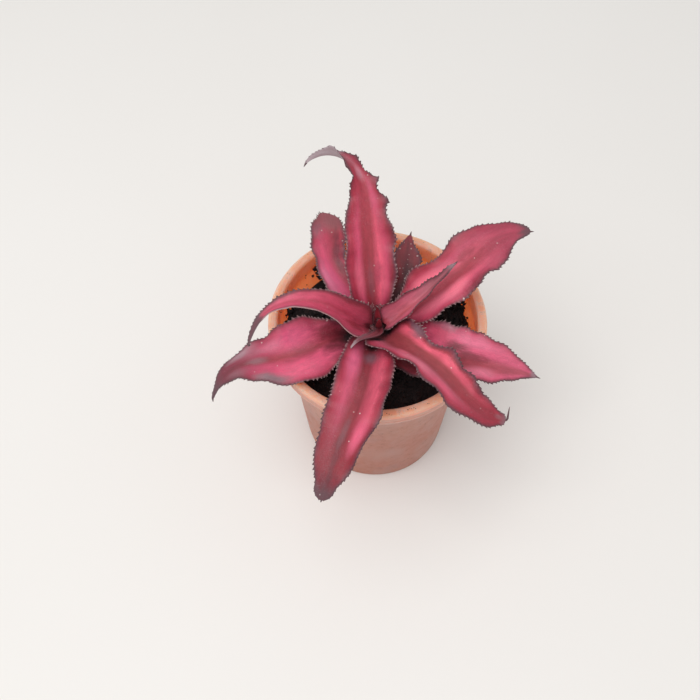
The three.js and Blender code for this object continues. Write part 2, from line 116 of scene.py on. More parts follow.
# The leaves as in the solids, and more for the looks. lobes = bumps and dents of the margins, as (side,
# share of the length, height, half length). across = the colours of the bands from the left margin to the
# right one. far = the colour that the bands fade to, from a share of the length on, and how much. tip and
# base = colour and reach, as shares of the length; the base colour is partly the leaf's own deep red and
# partly painted light and shade at the crowded stem. patches = (share of the length, share across, reach
# along, reach across, colour, strength): scurf and colour marks, and also painted highlights and painted
# shadows. foot = how near black the foot goes, as painted shade; pale_edge = a painted highlight along the
# left margin. tail = length of the tip's dry point, and how it turns and rises.
LEAVES = {
    "small_front_leaf": dict(
        rise=1, azimuth=306, length=28, widths=[6, 10, 13, 13, 10, 5, 0.8],
        pitch=[32, 19, 7, -6], turn=[0, 5, 8, 47], roll=[0, -5, -6, -1], fold=[24, 14, 8, 4],
        wave=0.5, scallop=0.5, waves=2.6, phases=[0.2, 0.57], tail=(1.5, 0, 0),
        across=[(0, PLUM), (0.15, CRIMSON), (0.5, WINE), (0.85, CRIMSON), (1, PLUM)],
        far=(0.5, DUSK, 0.6), tip=(ASH, 0.12), base=(WINE, 0.5),
        patches=[],
    ),
    "small_back_leaf": dict(
        rise=1.6, azimuth=67, length=48, widths=[6, 11, 13, 10, 12, 5, 0.8],
        pitch=[46, 34, 25, 18], turn=[0, -19, 18, 5], roll=[0, 0, 8, -2], fold=[38, 22, 10, 4],
        wave=0.5, scallop=1, waves=2.9, phases=[0.62, 0.72], tail=(1.8, 0, 10), plain=(0.97, 0.5),
        across=[(0, WINE), (0.15, (150, 42, 54)), (0.5, WINE), (0.8, (144, 40, 50)), (1, WINE)],
        # The near-black base and the near-black patch on the blade are painted shade on this low leaf under
        # the back leaf.
        far=(0.6, (112, 26, 38), 0.6), tip=(DUSK, 0.06), base=((44, 10, 16), 0.85),
        patches=[(0.62, 0.2, 0.14, 0.7, (58, 14, 22), 0.7), (0.86, -0.4, 0.1, 0.4, (140, 44, 54), 0.7)],
    ),
    "right_leaf": dict(
        rise=4, azimuth=338, length=73, widths=[8, 19, 24, 25, 19, 7, 0.8],
        pitch=[37, 17, -2, -17], turn=[0, -12, 8, 3], roll=[0, 1, 0, -1], fold=[38, 22, 11, 4],
        wave=0.7, scallop=0.5, waves=7.3, phases=[0.42, 0.59], tail=(2, 0, 0),
        across=[(0, CRIMSON), (0.1, ROSE), (0.24, PINK), (0.42, PINK), (0.56, MAROON), (0.74, MAROON),
                (0.86, PINK), (1, CRIMSON)],
        far=(0.62, MAUVE, 0.4), tip=(ASH, 0.04), base=(WINE, 0.16),
        # The broad pale pink patches on the left half are painted highlights.
        patches=[(0.36, -0.55, 0.14, 0.4, (192, 62, 92), 0.8),
                 (0.6, -0.62, 0.24, 0.35, (222, 114, 142), 0.7),
                 (0.49, -0.26, 0.11, 0.28, (112, 34, 46), 0.9),
                 (0.6, -0.06, 0.16, 0.28, (128, 40, 54), 0.85), (0.45, 0.25, 0.24, 0.45, DUSK, 0.8),
                 (0.66, 0.6, 0.14, 0.35, (222, 116, 140), 0.8),
                 (0.4, -0.95, 0.14, 0.3, (150, 112, 126), 0.6)],
    ),
    "left_leaf": dict(
        rise=4.5, azimuth=194, length=84, widths=[7, 15, 30, 27, 15, 4, 0.8],
        pitch=[39, 4, -13, -42], turn=[0, 13, -13, 52], roll=[-8, -15, 8, 20], fold=[25, 21, 10, 4],
        wave=1, scallop=0.4, waves=6.1, phases=[0.7, 0.93], tail=(2, 20, -20),
        across=[(0, CRIMSON), (0.1, ROSE), (0.22, PINK), (0.36, PINK), (0.5, MAROON), (0.62, ROSE),
                (0.76, PINK), (0.9, ROSE), (1, CRIMSON)],
        # The near-black base and the dark patches round it are painted shadow; the bright pink patches on
        # both halves are painted highlights; the grey patches are scurf.
        far=(0.6, (112, 46, 58), 0.95), tip=(SLATE, 0.1), base=((60, 12, 22), 0.34),
        patches=[(0.44, 0.55, 0.15, 0.45, (212, 76, 116), 1), (0.23, 0.35, 0.13, 0.6, (140, 28, 48), 0.9),
                 (0.17, 0.1, 0.13, 1, (112, 26, 40), 1), (0.26, -0.3, 0.08, 0.35, (116, 34, 48), 0.7),
                 (0.13, 0, 0.09, 1, (28, 6, 10), 1), (0.4, 0, 0.14, 0.3, (136, 44, 60), 0.5),
                 (0.44, -0.55, 0.14, 0.4, (226, 98, 128), 0.9), (0.66, 0.02, 0.08, 0.25, ASH, 0.5),
                 (0.58, -0.85, 0.12, 0.4, ASH, 0.9), (0.78, -0.6, 0.1, 0.5, ASH, 0.3),
                 (0.7, 0.5, 0.1, 0.4, ASH, 0.25), (0.75, 0.78, 0.1, 0.4, (172, 142, 150), 0.7),
                 (0.58, 0.5, 0.1, 0.3, (214, 132, 152), 0.4)],
    ),
    "back_left_leaf": dict(
        rise=6, azimuth=117, length=65, widths=[8, 15, 20, 14, 16, 11, 0.8],
        pitch=[47, 25, 8, -21], turn=[0, 19, -24, -32], roll=[0, 0, 10, 17], fold=[38, 22, 10, 4],
        wave=0.6, scallop=0.5, waves=7, phases=[0.3, 0.62], tail=(1, 0, 0),
        lobes=[(-1, 0.86, 0.6, 3)],
        blunt=(5.4, 0.92, 2.8), rim=(98, 74, 78), tufts=[(-1, 1, 1.3, 0.14), (1, 1, 1.3, 0.14)],
        across=[(0, CRIMSON), (0.12, ROSE), (0.3, PINK), (0.46, ROSE), (0.66, DUSK), (0.84, CRIMSON),
                (1, PLUM)],
        far=(0.62, MAROON, 0.6), tip=((142, 78, 84), 0.14), base=(CRIMSON, 0.1),
        # The bright pink patches on the left half are painted highlights.
        patches=[(0.9, 0.1, 0.14, 1.2, (146, 100, 102), 0.5), (0.8, -0.75, 0.1, 0.5, (140, 92, 102), 0.7),
                 (0.42, -0.35, 0.2, 0.45, (214, 92, 128), 1),
                 (0.44, -0.72, 0.18, 0.4, (222, 116, 148), 0.9), (0.6, 0.5, 0.3, 0.35, (112, 48, 60), 0.8)],
    ),
    "front_leaf": dict(
        rise=6, azimuth=250, length=91, widths=[7, 20, 24, 23, 19, 9, 0.8],
        pitch=[47, 23, -10, -38], turn=[0, 12, -5, 0], roll=[0, -9, 13, -9], fold=[38, 22, 10, 4],
        wave=1.4, scallop=0.2, waves=4.6, phases=[0.93, 0.36], tail=(1, 0, 0),
        lobes=[(-1, 0.33, 0.9, 4), (-1, 0.5, -0.3, 2), (-1, 0.58, 1.2, 3), (-1, 0.87, 0.6, 6)],
        blunt=(4.4, 0.7), teeth={-1: 0.75},
        across=[(0, DUSK), (0.08, CRIMSON), (0.19, (220, 90, 114)), (0.3, (196, 76, 98)),
                (0.42, (140, 52, 62)), (0.58, (144, 54, 64)), (0.74, (204, 84, 112)), (0.9, CRIMSON),
                (1, DUSK)],
        far=(0.56, (130, 24, 38), 0.93), tip=(SLATE, 0.06), base=(MAROON, 0.14),
        # The near-black patch by the base is painted shadow between the leaves; the bright pink patches are
        # painted highlights.
        patches=[(0.12, -0.3, 0.07, 0.9, (18, 6, 10), 1), (0.24, -0.15, 0.07, 0.45, (136, 94, 106), 0.9),
                 (0.8, 0, 0.16, 0.3, (96, 44, 52), 0.5), (0.68, 0.02, 0.1, 0.2, (128, 88, 94), 0.5),
                 (0.3, 0.5, 0.16, 0.4, (236, 108, 144), 0.9), (0.42, -0.85, 0.16, 0.35, (150, 44, 62), 0.7),
                 (0.68, -0.58, 0.12, 0.35, (226, 96, 126), 0.9), (0.93, 0, 0.09, 1.2, (92, 42, 52), 0.6)],
    ),
    "rear_right_leaf": dict(
        rise=8, azimuth=18, length=79, widths=[7, 17, 25, 22, 24, 11, 0.8],
        pitch=[44, 37, 23, 15], turn=[0, 4, 15, -28], roll=[6, 12, -1, -10], fold=[39, 23, 6, 7],
        wave=1.6, scallop=1.3, waves=3.4, phases=[0.89, 0.16], tail=(1.5, 0, 0),
        lobes=[(1, 0.33, 0.8, 2.5), (1, 0.47, 0.8, 3), (1, 0.59, 0.7, 2), (1, 0.71, 1.3, 2),
               (1, 0.85, 0.8, 3), (-1, 0.42, -0.5, 3), (-1, 0.73, -0.6, 3), (-1, 0.85, -0.6, 3)],
        blunt=(5, 0.5),
        across=[(0, MAROON), (0.1, CRIMSON), (0.24, ROSE), (0.36, CORAL), (0.5, (172, 62, 78)),
                (0.62, (168, 58, 74)), (0.76, (218, 88, 114)), (0.88, ROSE), (1, CRIMSON)],
        far=(0.6, (158, 58, 78), 0.85), tip=(SLATE, 0.05), base=(WINE, 0.16),
        # The bright coral and pink patches are painted highlights.
        patches=[(0.34, -0.4, 0.2, 0.4, (250, 118, 140), 1), (0.36, 0.5, 0.18, 0.35, (226, 112, 134), 0.9),
                 (0.56, 0.1, 0.22, 0.4, (158, 44, 60), 0.7), (0.63, -0.28, 0.12, 0.28, (156, 46, 66), 0.9),
                 (0.48, 0.5, 0.11, 0.3, (244, 118, 140), 0.9),
                 (0.58, 0.95, 0.12, 0.35, (132, 38, 54), 0.8)],
    ),
    "back_leaf": dict(
        rise=11.5, azimuth=103, length=94, widths=[7, 22, 23, 16, 7, 4.5, 0.8],
        pitch=[61, 49, 35, -15], turn=[0, -10, 8, 122], roll=[-9, 1, -1, 92], fold=[37, 26, 13, 47],
        wave=1, scallop=0.6, waves=5.8, phases=[0.2, 0.58], tail=(1.5, 10, -10),
        lobes=[(1, 0.41, 0.9, 2.6), (1, 0.47, 1, 2.2), (1, 0.575, 1.6, 1.5), (1, 0.622, -1.3, 1.9),
               (1, 0.665, 2.1, 1.2), (1, 0.72, -0.8, 1.6), (1, 0.775, 1, 1.2), (-1, 0.55, 1, 3),
               (-1, 0.62, -0.5, 1.2), (-1, 0.655, -0.7, 1.4), (-1, 0.71, -1.2, 1.4), (-1, 0.775, 2.6, 2.4),
               (-1, 0.87, 2, 2.6)],
        across=[(0, CRIMSON), (0.12, CRIMSON), (0.26, PINK), (0.38, MAROON), (0.56, MAROON), (0.7, CORAL),
                (0.82, ROSE), (0.92, DUSK), (1, PLUM)],
        far=(0.42, (160, 44, 62), 0.93), tip=((172, 154, 160), 0.17), base=(MAROON, 0.06),
        # The pale patches low on the blade, in the middle and on both halves, are painted light on a part
        # that lies in shade between the leaves.
        patches=[(0.2, 0, 0.14, 0.26, (140, 76, 86), 0.7), (0.6, 0.45, 0.12, 0.3, (200, 76, 108), 0.7),
                 (0.22, -0.5, 0.14, 0.3, (230, 106, 130), 0.8),
                 (0.2, 0.55, 0.12, 0.25, (226, 102, 126), 0.5), (0.26, 0.3, 0.1, 0.25, (172, 70, 90), 0.7),
                 (0.8, 0, 0.06, 1, (176, 104, 116), 0.7), (0.72, 0.1, 0.06, 0.5, (196, 132, 146), 0.6)],
    ),
    "front_right_leaf": dict(
        rise=11, azimuth=291, length=79, widths=[9, 26, 18, 20, 14, 8, 0.8],
        pitch=[48, 24, -6, -34], turn=[0, 22, 17, 75], roll=[5, -10, -14, 31], fold=[29, 24, 11, 4],
        wave=0.7, scallop=1.1, waves=5.4, phases=[0.43, 0.02], tail=(6.5, 72, 78),
        lobes=[(-1, 0.5, 0.8, 5), (-1, 0.7, 1, 5), (-1, 0.565, 0.9, 2.6), (-1, 0.765, 1.6, 3),
               (-1, 0.92, -0.4, 2.5), (1, 0.24, -1, 3), (1, 0.95, -0.8, 2)],
        blunt=(2.8, 0.75),
        across=[(0, PLUM), (0.09, MAROON), (0.15, (226, 92, 114)), (0.22, (226, 92, 114)),
                (0.32, (152, 62, 68)), (0.57, (146, 58, 66)), (0.68, (192, 92, 112)), (0.8, (206, 84, 112)),
                (0.92, CRIMSON), (1, PLUM)],
        tufts=[(-1, 0.27, 0.9, 0.05)],
        far=(0.62, (150, 34, 52), 0.9), tip=((136, 96, 104), 0.03), base=(MAROON, 0.14),
        # The two near-black patches by the base are painted shadow in the gaps between the leaves.
        patches=[(0.05, -0.5, 0.07, 0.8, (14, 4, 8), 1), (0.1, 0.6, 0.045, 0.7, (14, 4, 8), 1),
                 (0.42, 0.55, 0.16, 0.35, (226, 122, 142), 0.9),
                 (0.27, -0.95, 0.1, 0.5, (124, 96, 106), 0.9),
                 (0.95, -0.2, 0.04, 0.5, (158, 108, 116), 0.6),
                 (0.31, 0.3, 0.07, 0.2, (222, 104, 126), 0.8), (0.63, 0.5, 0.1, 0.3, (220, 88, 116), 0.7),
                 (0.86, 0.1, 0.12, 0.8, DUSK, 0.6)],
    ),
    "arching_leaf": dict(
        rise=13, azimuth=194, length=74, widths=[6, 22, 16, 10, 4.5, 2, 0.6],
        pitch=[53, 47, -5, -63], turn=[0, -13, 5, 51], roll=[-29, -30, 7, 19], fold=[45, 48, 25, 20],
        wave=0.2, scallop=0.4, waves=2.8, phases=[0.35, 0.06], tail=(2, 0, -80), teeth={-1: 0.4},
        across=[(0, MAUVE), (0.12, ROSE), (0.27, (210, 84, 112)), (0.45, (198, 76, 102)),
                (0.56, (184, 68, 90)), (0.7, (210, 84, 112)), (0.84, (200, 80, 104)), (0.92, (150, 58, 72)),
                (1, DUSK)],
        # pale_edge is a painted highlight along the left margin; the dark patch at the foot is painted shade.
        far=(0.7, DUSTY, 0.7), tip=(SLATE, 0.2), base=((190, 70, 88), 0.1), pale_edge=0.6, foot=0.1,
        patches=[(0.0, 0.2, 0.1, 1, (76, 18, 28), 0.8), (0.15, -0.3, 0.12, 0.45, (152, 46, 60), 0.8)],
        tufts=[(1, 0.14, 2.4, 0.07)],
    ),
    "inner_right_leaf": dict(
        rise=13, azimuth=5, length=45, widths=[7, 18.5, 16, 10, 4.5, 2.5, 0.6],
        pitch=[60, 48, 45, 41], turn=[0, 8, 19, 24], roll=[14, 21, 5, 0], fold=[52, 58, 45, 35],
        wave=0.3, scallop=0.4, waves=4, phases=[0.22, 0.46], tail=(1.2, 0, 0),
        across=[(0, DUSK), (0.1, (204, 106, 128)), (0.25, (226, 130, 150)), (0.45, (210, 122, 138)),
                (0.6, (196, 104, 118)), (0.82, (208, 106, 128)), (0.94, ROSE), (1, PLUM)],
        # Its light base colour is painted light on a base that lies in shade among the other leaves; foot = 0
        # leaves out the painted shade at the foot.
        far=(0.5, (152, 84, 92), 0.88), tip=(ASH, 0.08), base=((206, 92, 106), 0.1), foot=0.0,
        patches=[(0.3, 0.1, 0.2, 0.4, (184, 84, 92), 0.6)],
        rim=(60, 24, 32), tufts=[(-1, 0.16, 2.2, 0.07)],
    ),
}

STRAIGHT = [0, 0, 0, 0]
SMOOTH = {"wave": 0, "scallop": 0, "waves": 1, "phases": [0, 0]}
HEART = {"rise": STEM["top"] + CLEARANCE, "bud_radius": 1.6, "bud_height": 5}
HEART_LEAVES = [
    dict(
        rise=14, azimuth=104, length=12.8, widths=[4.6, 4.8, 4.4, 3.6, 2.6, 1.6, 0.8],
        pitch=[72, 80, 84, 78], turn=STRAIGHT, roll=STRAIGHT, fold=[32, 30, 34, 40],
        teeth={-1: 0.2, 1: 0.2}, tufts=[(-1, 1, 56, 0.2), (1, 1, 56, 0.2)], dense=0.45, **SMOOTH,
    ),
    dict(
        rise=12.6, azimuth=278, length=10.5, widths=[3.4, 3.4, 3, 2.3, 1.6, 0.9, 0.4],
        pitch=[60, 80, 86, 88], turn=STRAIGHT, roll=STRAIGHT, fold=[30, 24, 14, 8], teeth={-1: 0.2, 1: 0.2},
        **SMOOTH,
    ),
    dict(
        rise=12, azimuth=226, length=6, widths=[2.5, 3, 3.2, 3, 2.2, 1.3, 0.5],
        pitch=[30, 46, 60, 66], turn=STRAIGHT, roll=STRAIGHT, fold=[30, 30, 24, 14],
        tufts=[(-1, 0.8, 2.4, 0.4), (1, 0.8, 2.4, 0.4)], dense=0.5, **SMOOTH,
    ),
    dict(
        rise=13.4, azimuth=284, length=27, widths=[2.8, 4.2, 4, 2.8, 1.6, 0.9, 0.4],
        pitch=[18, 46, 28, -20], turn=[0, -45, -74, -51], roll=STRAIGHT, fold=[35, 40, 40, 30],
        teeth={-1: 0.5, 1: 1.6}, tufts=[(1, 0.25, 3.6, 0.36)], dense=0.5, **SMOOTH,
    ),
]


# ---- Camera and light ----
# The photo's view: its focal length in pixels of a 700-pixel frame, how far the camera looks down, its
# tilt, its distance to the middle of the pot's rim in metres, and the pixel where that middle shows.
VIEW = {"frame": 700, "focal": 800, "down": 60.74, "tilt": -1.563, "distance": 0.3657,
        "rim_at": (377.35, 317.75)}
SENSOR = 36


def make_camera():
    down, tilt = math.radians(VIEW["down"]), math.radians(VIEW["tilt"])
    forward = Vector((0, math.cos(down), -math.sin(down)))
    level = Vector((1, 0, 0))
    above = level.cross(forward)
    right = level * math.cos(tilt) + above * math.sin(tilt)
    up = above * math.cos(tilt) - level * math.sin(tilt)
    half = VIEW["frame"] / 2
    x, y = VIEW["rim_at"]
    sight = (forward * VIEW["focal"] + right * (x - half) - up * (y - half)).normalized()
    place = Vector((0, 0, POT_HEIGHT * MM)) - sight * VIEW["distance"]
    data = bpy.data.cameras.new("camera")
    data.sensor_width = SENSOR
    data.lens = SENSOR * VIEW["focal"] / VIEW["frame"]
    data.clip_start = 0.01
    camera = bpy.data.objects.new("camera", data)
    camera.matrix_world = Matrix.Translation(place) @ Matrix((right, up, -forward)).transposed().to_4x4()
    bpy.context.scene.collection.objects.link(camera)
    bpy.context.scene.camera = camera


def make_daylight():
    """A soft sky all round, and one broad lamp."""
    world = bpy.data.worlds.new("daylight")
    world.use_nodes = True
    sky = world.node_tree.nodes["Background"]
    sky.inputs["Color"].default_value = SKY["colour"]
    sky.inputs["Strength"].default_value = SKY["strength"]
    bpy.context.scene.world = world
    bpy.context.scene.view_settings.view_transform = "Standard"
    data = bpy.data.lights.new("sky_window", "AREA")
    data.shape = "DISK"
    data.size = LAMP["size"]
    data.energy = LAMP["watts"]
    light = bpy.data.objects.new("sky_window", data)
    light.location = LAMP["place"]
    way = Vector(LAMP["aim"]) - Vector(LAMP["place"])
    light.rotation_euler = way.to_track_quat("-Z", "Y").to_euler()
    bpy.context.scene.collection.objects.link(light)


# ---- Node helpers ----
def linear(colour):
    """A colour as seen on a screen, 0 to 255, in the linear values that shaders take."""
    return tuple(((v / 255 + 0.055) / 1.055) ** 2.4 if v > 10 else v / 255 / 12.92 for v in colour)


class Value:
    """The output of a node, which adds and multiplies with plain signs."""

    def __init__(self, paint, socket):
        self.paint, self.socket = paint, socket

    def __add__(self, other):
        return self.paint.math("ADD", self, other)

    def __sub__(self, other):
        return self.paint.math("SUBTRACT", self, other)

    def __rsub__(self, other):
        return self.paint.math("SUBTRACT", other, self)

    def __mul__(self, other):
        return self.paint.math("MULTIPLY", self, other)

    def __truediv__(self, other):
        return self.paint.math("DIVIDE", self, other)


class Paint:
    """A material's node tree, with short calls for the nodes that these materials use."""

    def __init__(self, name):
        self.material = bpy.data.materials.new(name)
        self.material.use_nodes = True
        self.tree = self.material.node_tree
        self.tree.nodes.clear()
        self.shader = self.tree.nodes.new("ShaderNodeBsdfPrincipled")
        output = self.tree.nodes.new("ShaderNodeOutputMaterial")
        self.tree.links.new(self.shader.outputs[0], output.inputs["Surface"])

    def set(self, socket, value):
        if isinstance(value, Value):
            self.tree.links.new(value.socket, socket)
        elif socket.type == "RGBA":
            socket.default_value = (*linear(value), 1)
        else:
            socket.default_value = value

    def node(self, kind, settings=None, **inputs):
        node = self.tree.nodes.new(kind)
        for key, value in (settings or {}).items():
            setattr(node, key, value)
        for key, value in inputs.items():
            self.set(node.inputs[key.replace("_", " ")], value)
        return node

    def value(self, node, output=0):
        return Value(self, node.outputs[output])

    def math(self, operation, *values, clamp=False):
        node = self.node("ShaderNodeMath", {"operation": operation, "use_clamp": clamp})
        for socket, value in zip(node.inputs, values):
            self.set(socket, value)
        return self.value(node)

    def step(self, value, low, high, to_low=0.0, to_high=1.0):
        """value taken smoothly from to_low, at low, to to_high, at high."""
        return self.value(self.node("ShaderNodeMapRange", {"interpolation_type": "SMOOTHSTEP"}, Value=value,
                                    From_Min=low, From_Max=high, To_Min=to_low, To_Max=to_high))

    def mix(self, share, a, b, blend="MIX"):
        node = self.node("ShaderNodeMix", {"data_type": "RGBA", "blend_type": blend})
        for index, value in ((0, share), (6, a), (7, b)):
            self.set(node.inputs[index], value)
        return self.value(node, 2)

    def ramp(self, share, stops):
        node = self.tree.nodes.new("ShaderNodeValToRGB")
        elements = node.color_ramp.elements
        while len(elements) < len(stops):
            elements.new(0.5)
        for element, (at, colour) in zip(elements, stops):
            element.position = at
            element.color = (*linear(colour), 1)
        self.set(node.inputs[0], share)
        return self.value(node)

    def attribute(self, name):
        """The parts of a vector attribute, and the vector itself."""
        vector = self.value(self.node("ShaderNodeAttribute", {"attribute_name": name}), 1)
        parts = self.node("ShaderNodeSeparateXYZ", Vector=vector)
        return *(self.value(parts, i) for i in range(3)), vector

    def place(self):
        """Where a point lies on its object, in metres."""
        return self.value(self.node("ShaderNodeTexCoord"), "Object")

    def stretch(self, vector, x, y, z=1):
        node = self.node("ShaderNodeVectorMath", {"operation": "MULTIPLY"})
        self.set(node.inputs[0], vector)
        self.set(node.inputs[1], (x, y, z))
        return self.value(node)

    def noise(self, vector, scale, detail=2.0, roughness=0.5, distortion=0.0):
        return self.value(self.node("ShaderNodeTexNoise", Vector=vector, Scale=scale, Detail=detail,
                                    Roughness=roughness, Distortion=distortion))

    def bump(self, height, distance):
        return self.value(self.node("ShaderNodeBump", Distance=distance, Height=height))

    def finish(self, **inputs):
        for key, value in inputs.items():
            self.set(self.shader.inputs[key.replace("_", " ")], value)
        return self.material


# ---- Mesh helpers ----
class Parts:
    """A mesh put together bit by bit. Its layers hold one vector for each point."""

    def __init__(self, *layers):
        self.points, self.faces, self.count = [], [], 0
        self.layers = {key: [] for key in layers}

    def add(self, points, faces, **layers):
        self.faces += [tuple(self.count + i for i in face) for face in faces]
        self.points.append(points)
        self.count += len(points)
        for key, values in layers.items():
            self.layers[key].append(np.broadcast_to(values, (len(points), 3)))

    def whole(self):
        """All the points, all the faces and the layers."""
        layers = {key: np.vstack(values) for key, values in self.layers.items()}
        return np.vstack(self.points), self.faces, layers


def add_mesh(name, points, faces, material, node=None, attributes=None):
    """A mesh piece on the root body, in millimetres. attributes = {name: one vector for each point}."""
    mesh = bpy.data.meshes.new(name)
    mesh.from_pydata((np.asarray(points) * MM).tolist(), [], faces)
    mesh.validate()
    mesh.polygons.foreach_set("use_smooth", [True] * len(mesh.polygons))
    for key, values in (attributes or {}).items():
        add_layer(mesh, key, values)
    mesh.materials.append(material)
    piece = bpy.data.objects.new(name, mesh)
    bpy.context.scene.collection.objects.link(piece)
    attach(piece, "root")
    if node:
        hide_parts(node)
    return piece


def add_layer(mesh, name, vectors):
    layer = mesh.attributes.new(name, "FLOAT_VECTOR", "POINT")
    layer.data.foreach_set("vector", np.asarray(vectors, np.float32).ravel())


def ring_faces(rings, count):
    """Quads between closed rings of count points, outward where rings turn anticlockwise going up."""
    faces = []
    for r in range(rings - 1):
        a, b = r * count, (r + 1) * count
        for i in range(count):
            j = (i + 1) % count
            faces.append((a + i, a + j, b + j, b + i))
    return faces


def end_faces(rings, count):
    """The two faces that close a tube of such rings."""
    return [tuple(reversed(range(count))), tuple(range((rings - 1) * count, rings * count))]


def turned(faces):
    return [tuple(reversed(face)) for face in faces]


def lathe(profile, sides, x=0.0, y=0.0):
    """Rings of points round an upright axis, from (radius, height) pairs that run up the outside."""
    turn = np.arange(sides) * 2 * np.pi / sides
    rings = [np.stack([x + r * np.cos(turn), y + r * np.sin(turn), 0 * turn + z], -1) for r, z in profile]
    return np.vstack(rings)


# ---- Leaves ----
def along(stations, values, s):
    """Smooth curve through the values held at the stations."""
    stations, values, s = np.asarray(stations, float), np.asarray(values, float), np.asarray(s, float)
    before = np.maximum(np.arange(len(values)) - 1, 0)
    after = np.minimum(np.arange(len(values)) + 1, len(values) - 1)
    slope = (values[after] - values[before]) / (stations[after] - stations[before])
    i = np.clip(np.searchsorted(stations, s) - 1, 0, len(values) - 2)
    span = stations[i + 1] - stations[i]
    t = (s - stations[i]) / span
    return ((2 * t**3 - 3 * t**2 + 1) * values[i] + (t**3 - 2 * t**2 + t) * span * slope[i]
            + (3 * t**2 - 2 * t**3) * values[i + 1] + (t**3 - t**2) * span * slope[i + 1])


def rib_frames(leaf, s, reach):
    """Points of the rib at the shares s, with the ways to the left margin, up from the blade and forward."""
    def heading(share):
        flat = np.radians(leaf["azimuth"] + along(ANGLE_AT, leaf["turn"], share))
        pitch = np.radians(along(ANGLE_AT, leaf["pitch"], share))
        return np.stack([np.cos(pitch) * np.cos(flat), np.cos(pitch) * np.sin(flat), np.sin(pitch)], -1), flat

    out = math.radians(leaf["azimuth"])
    first = [STEM["x"] + reach * math.cos(out), STEM["y"] + reach * math.sin(out), SOIL_HEIGHT + leaf["rise"]]
    moves = heading((s[1:] + s[:-1]) / 2)[0] * (np.diff(s) * leaf["length"])[:, None]
    rib = np.vstack([first, first + np.cumsum(moves, 0)])
    forward, flat = heading(s)
    side = np.stack([-np.sin(flat), np.cos(flat), 0 * flat], -1)
    lift = np.cross(forward, side)
    roll = np.radians(along(ANGLE_AT, leaf["roll"], s))[:, None]
    return rib, side * np.cos(roll) + lift * np.sin(roll), lift * np.cos(roll) - side * np.sin(roll), forward


def spine_places(length, pitch, start):
    """Places of the spines along a margin, in millimetres from the leaf's base."""
    places = [start]
    while places[-1] < length - 0.5:
        places.append(places[-1] + pitch * rng.uniform(0.65, 1.4))
    return np.array(places[:-1])


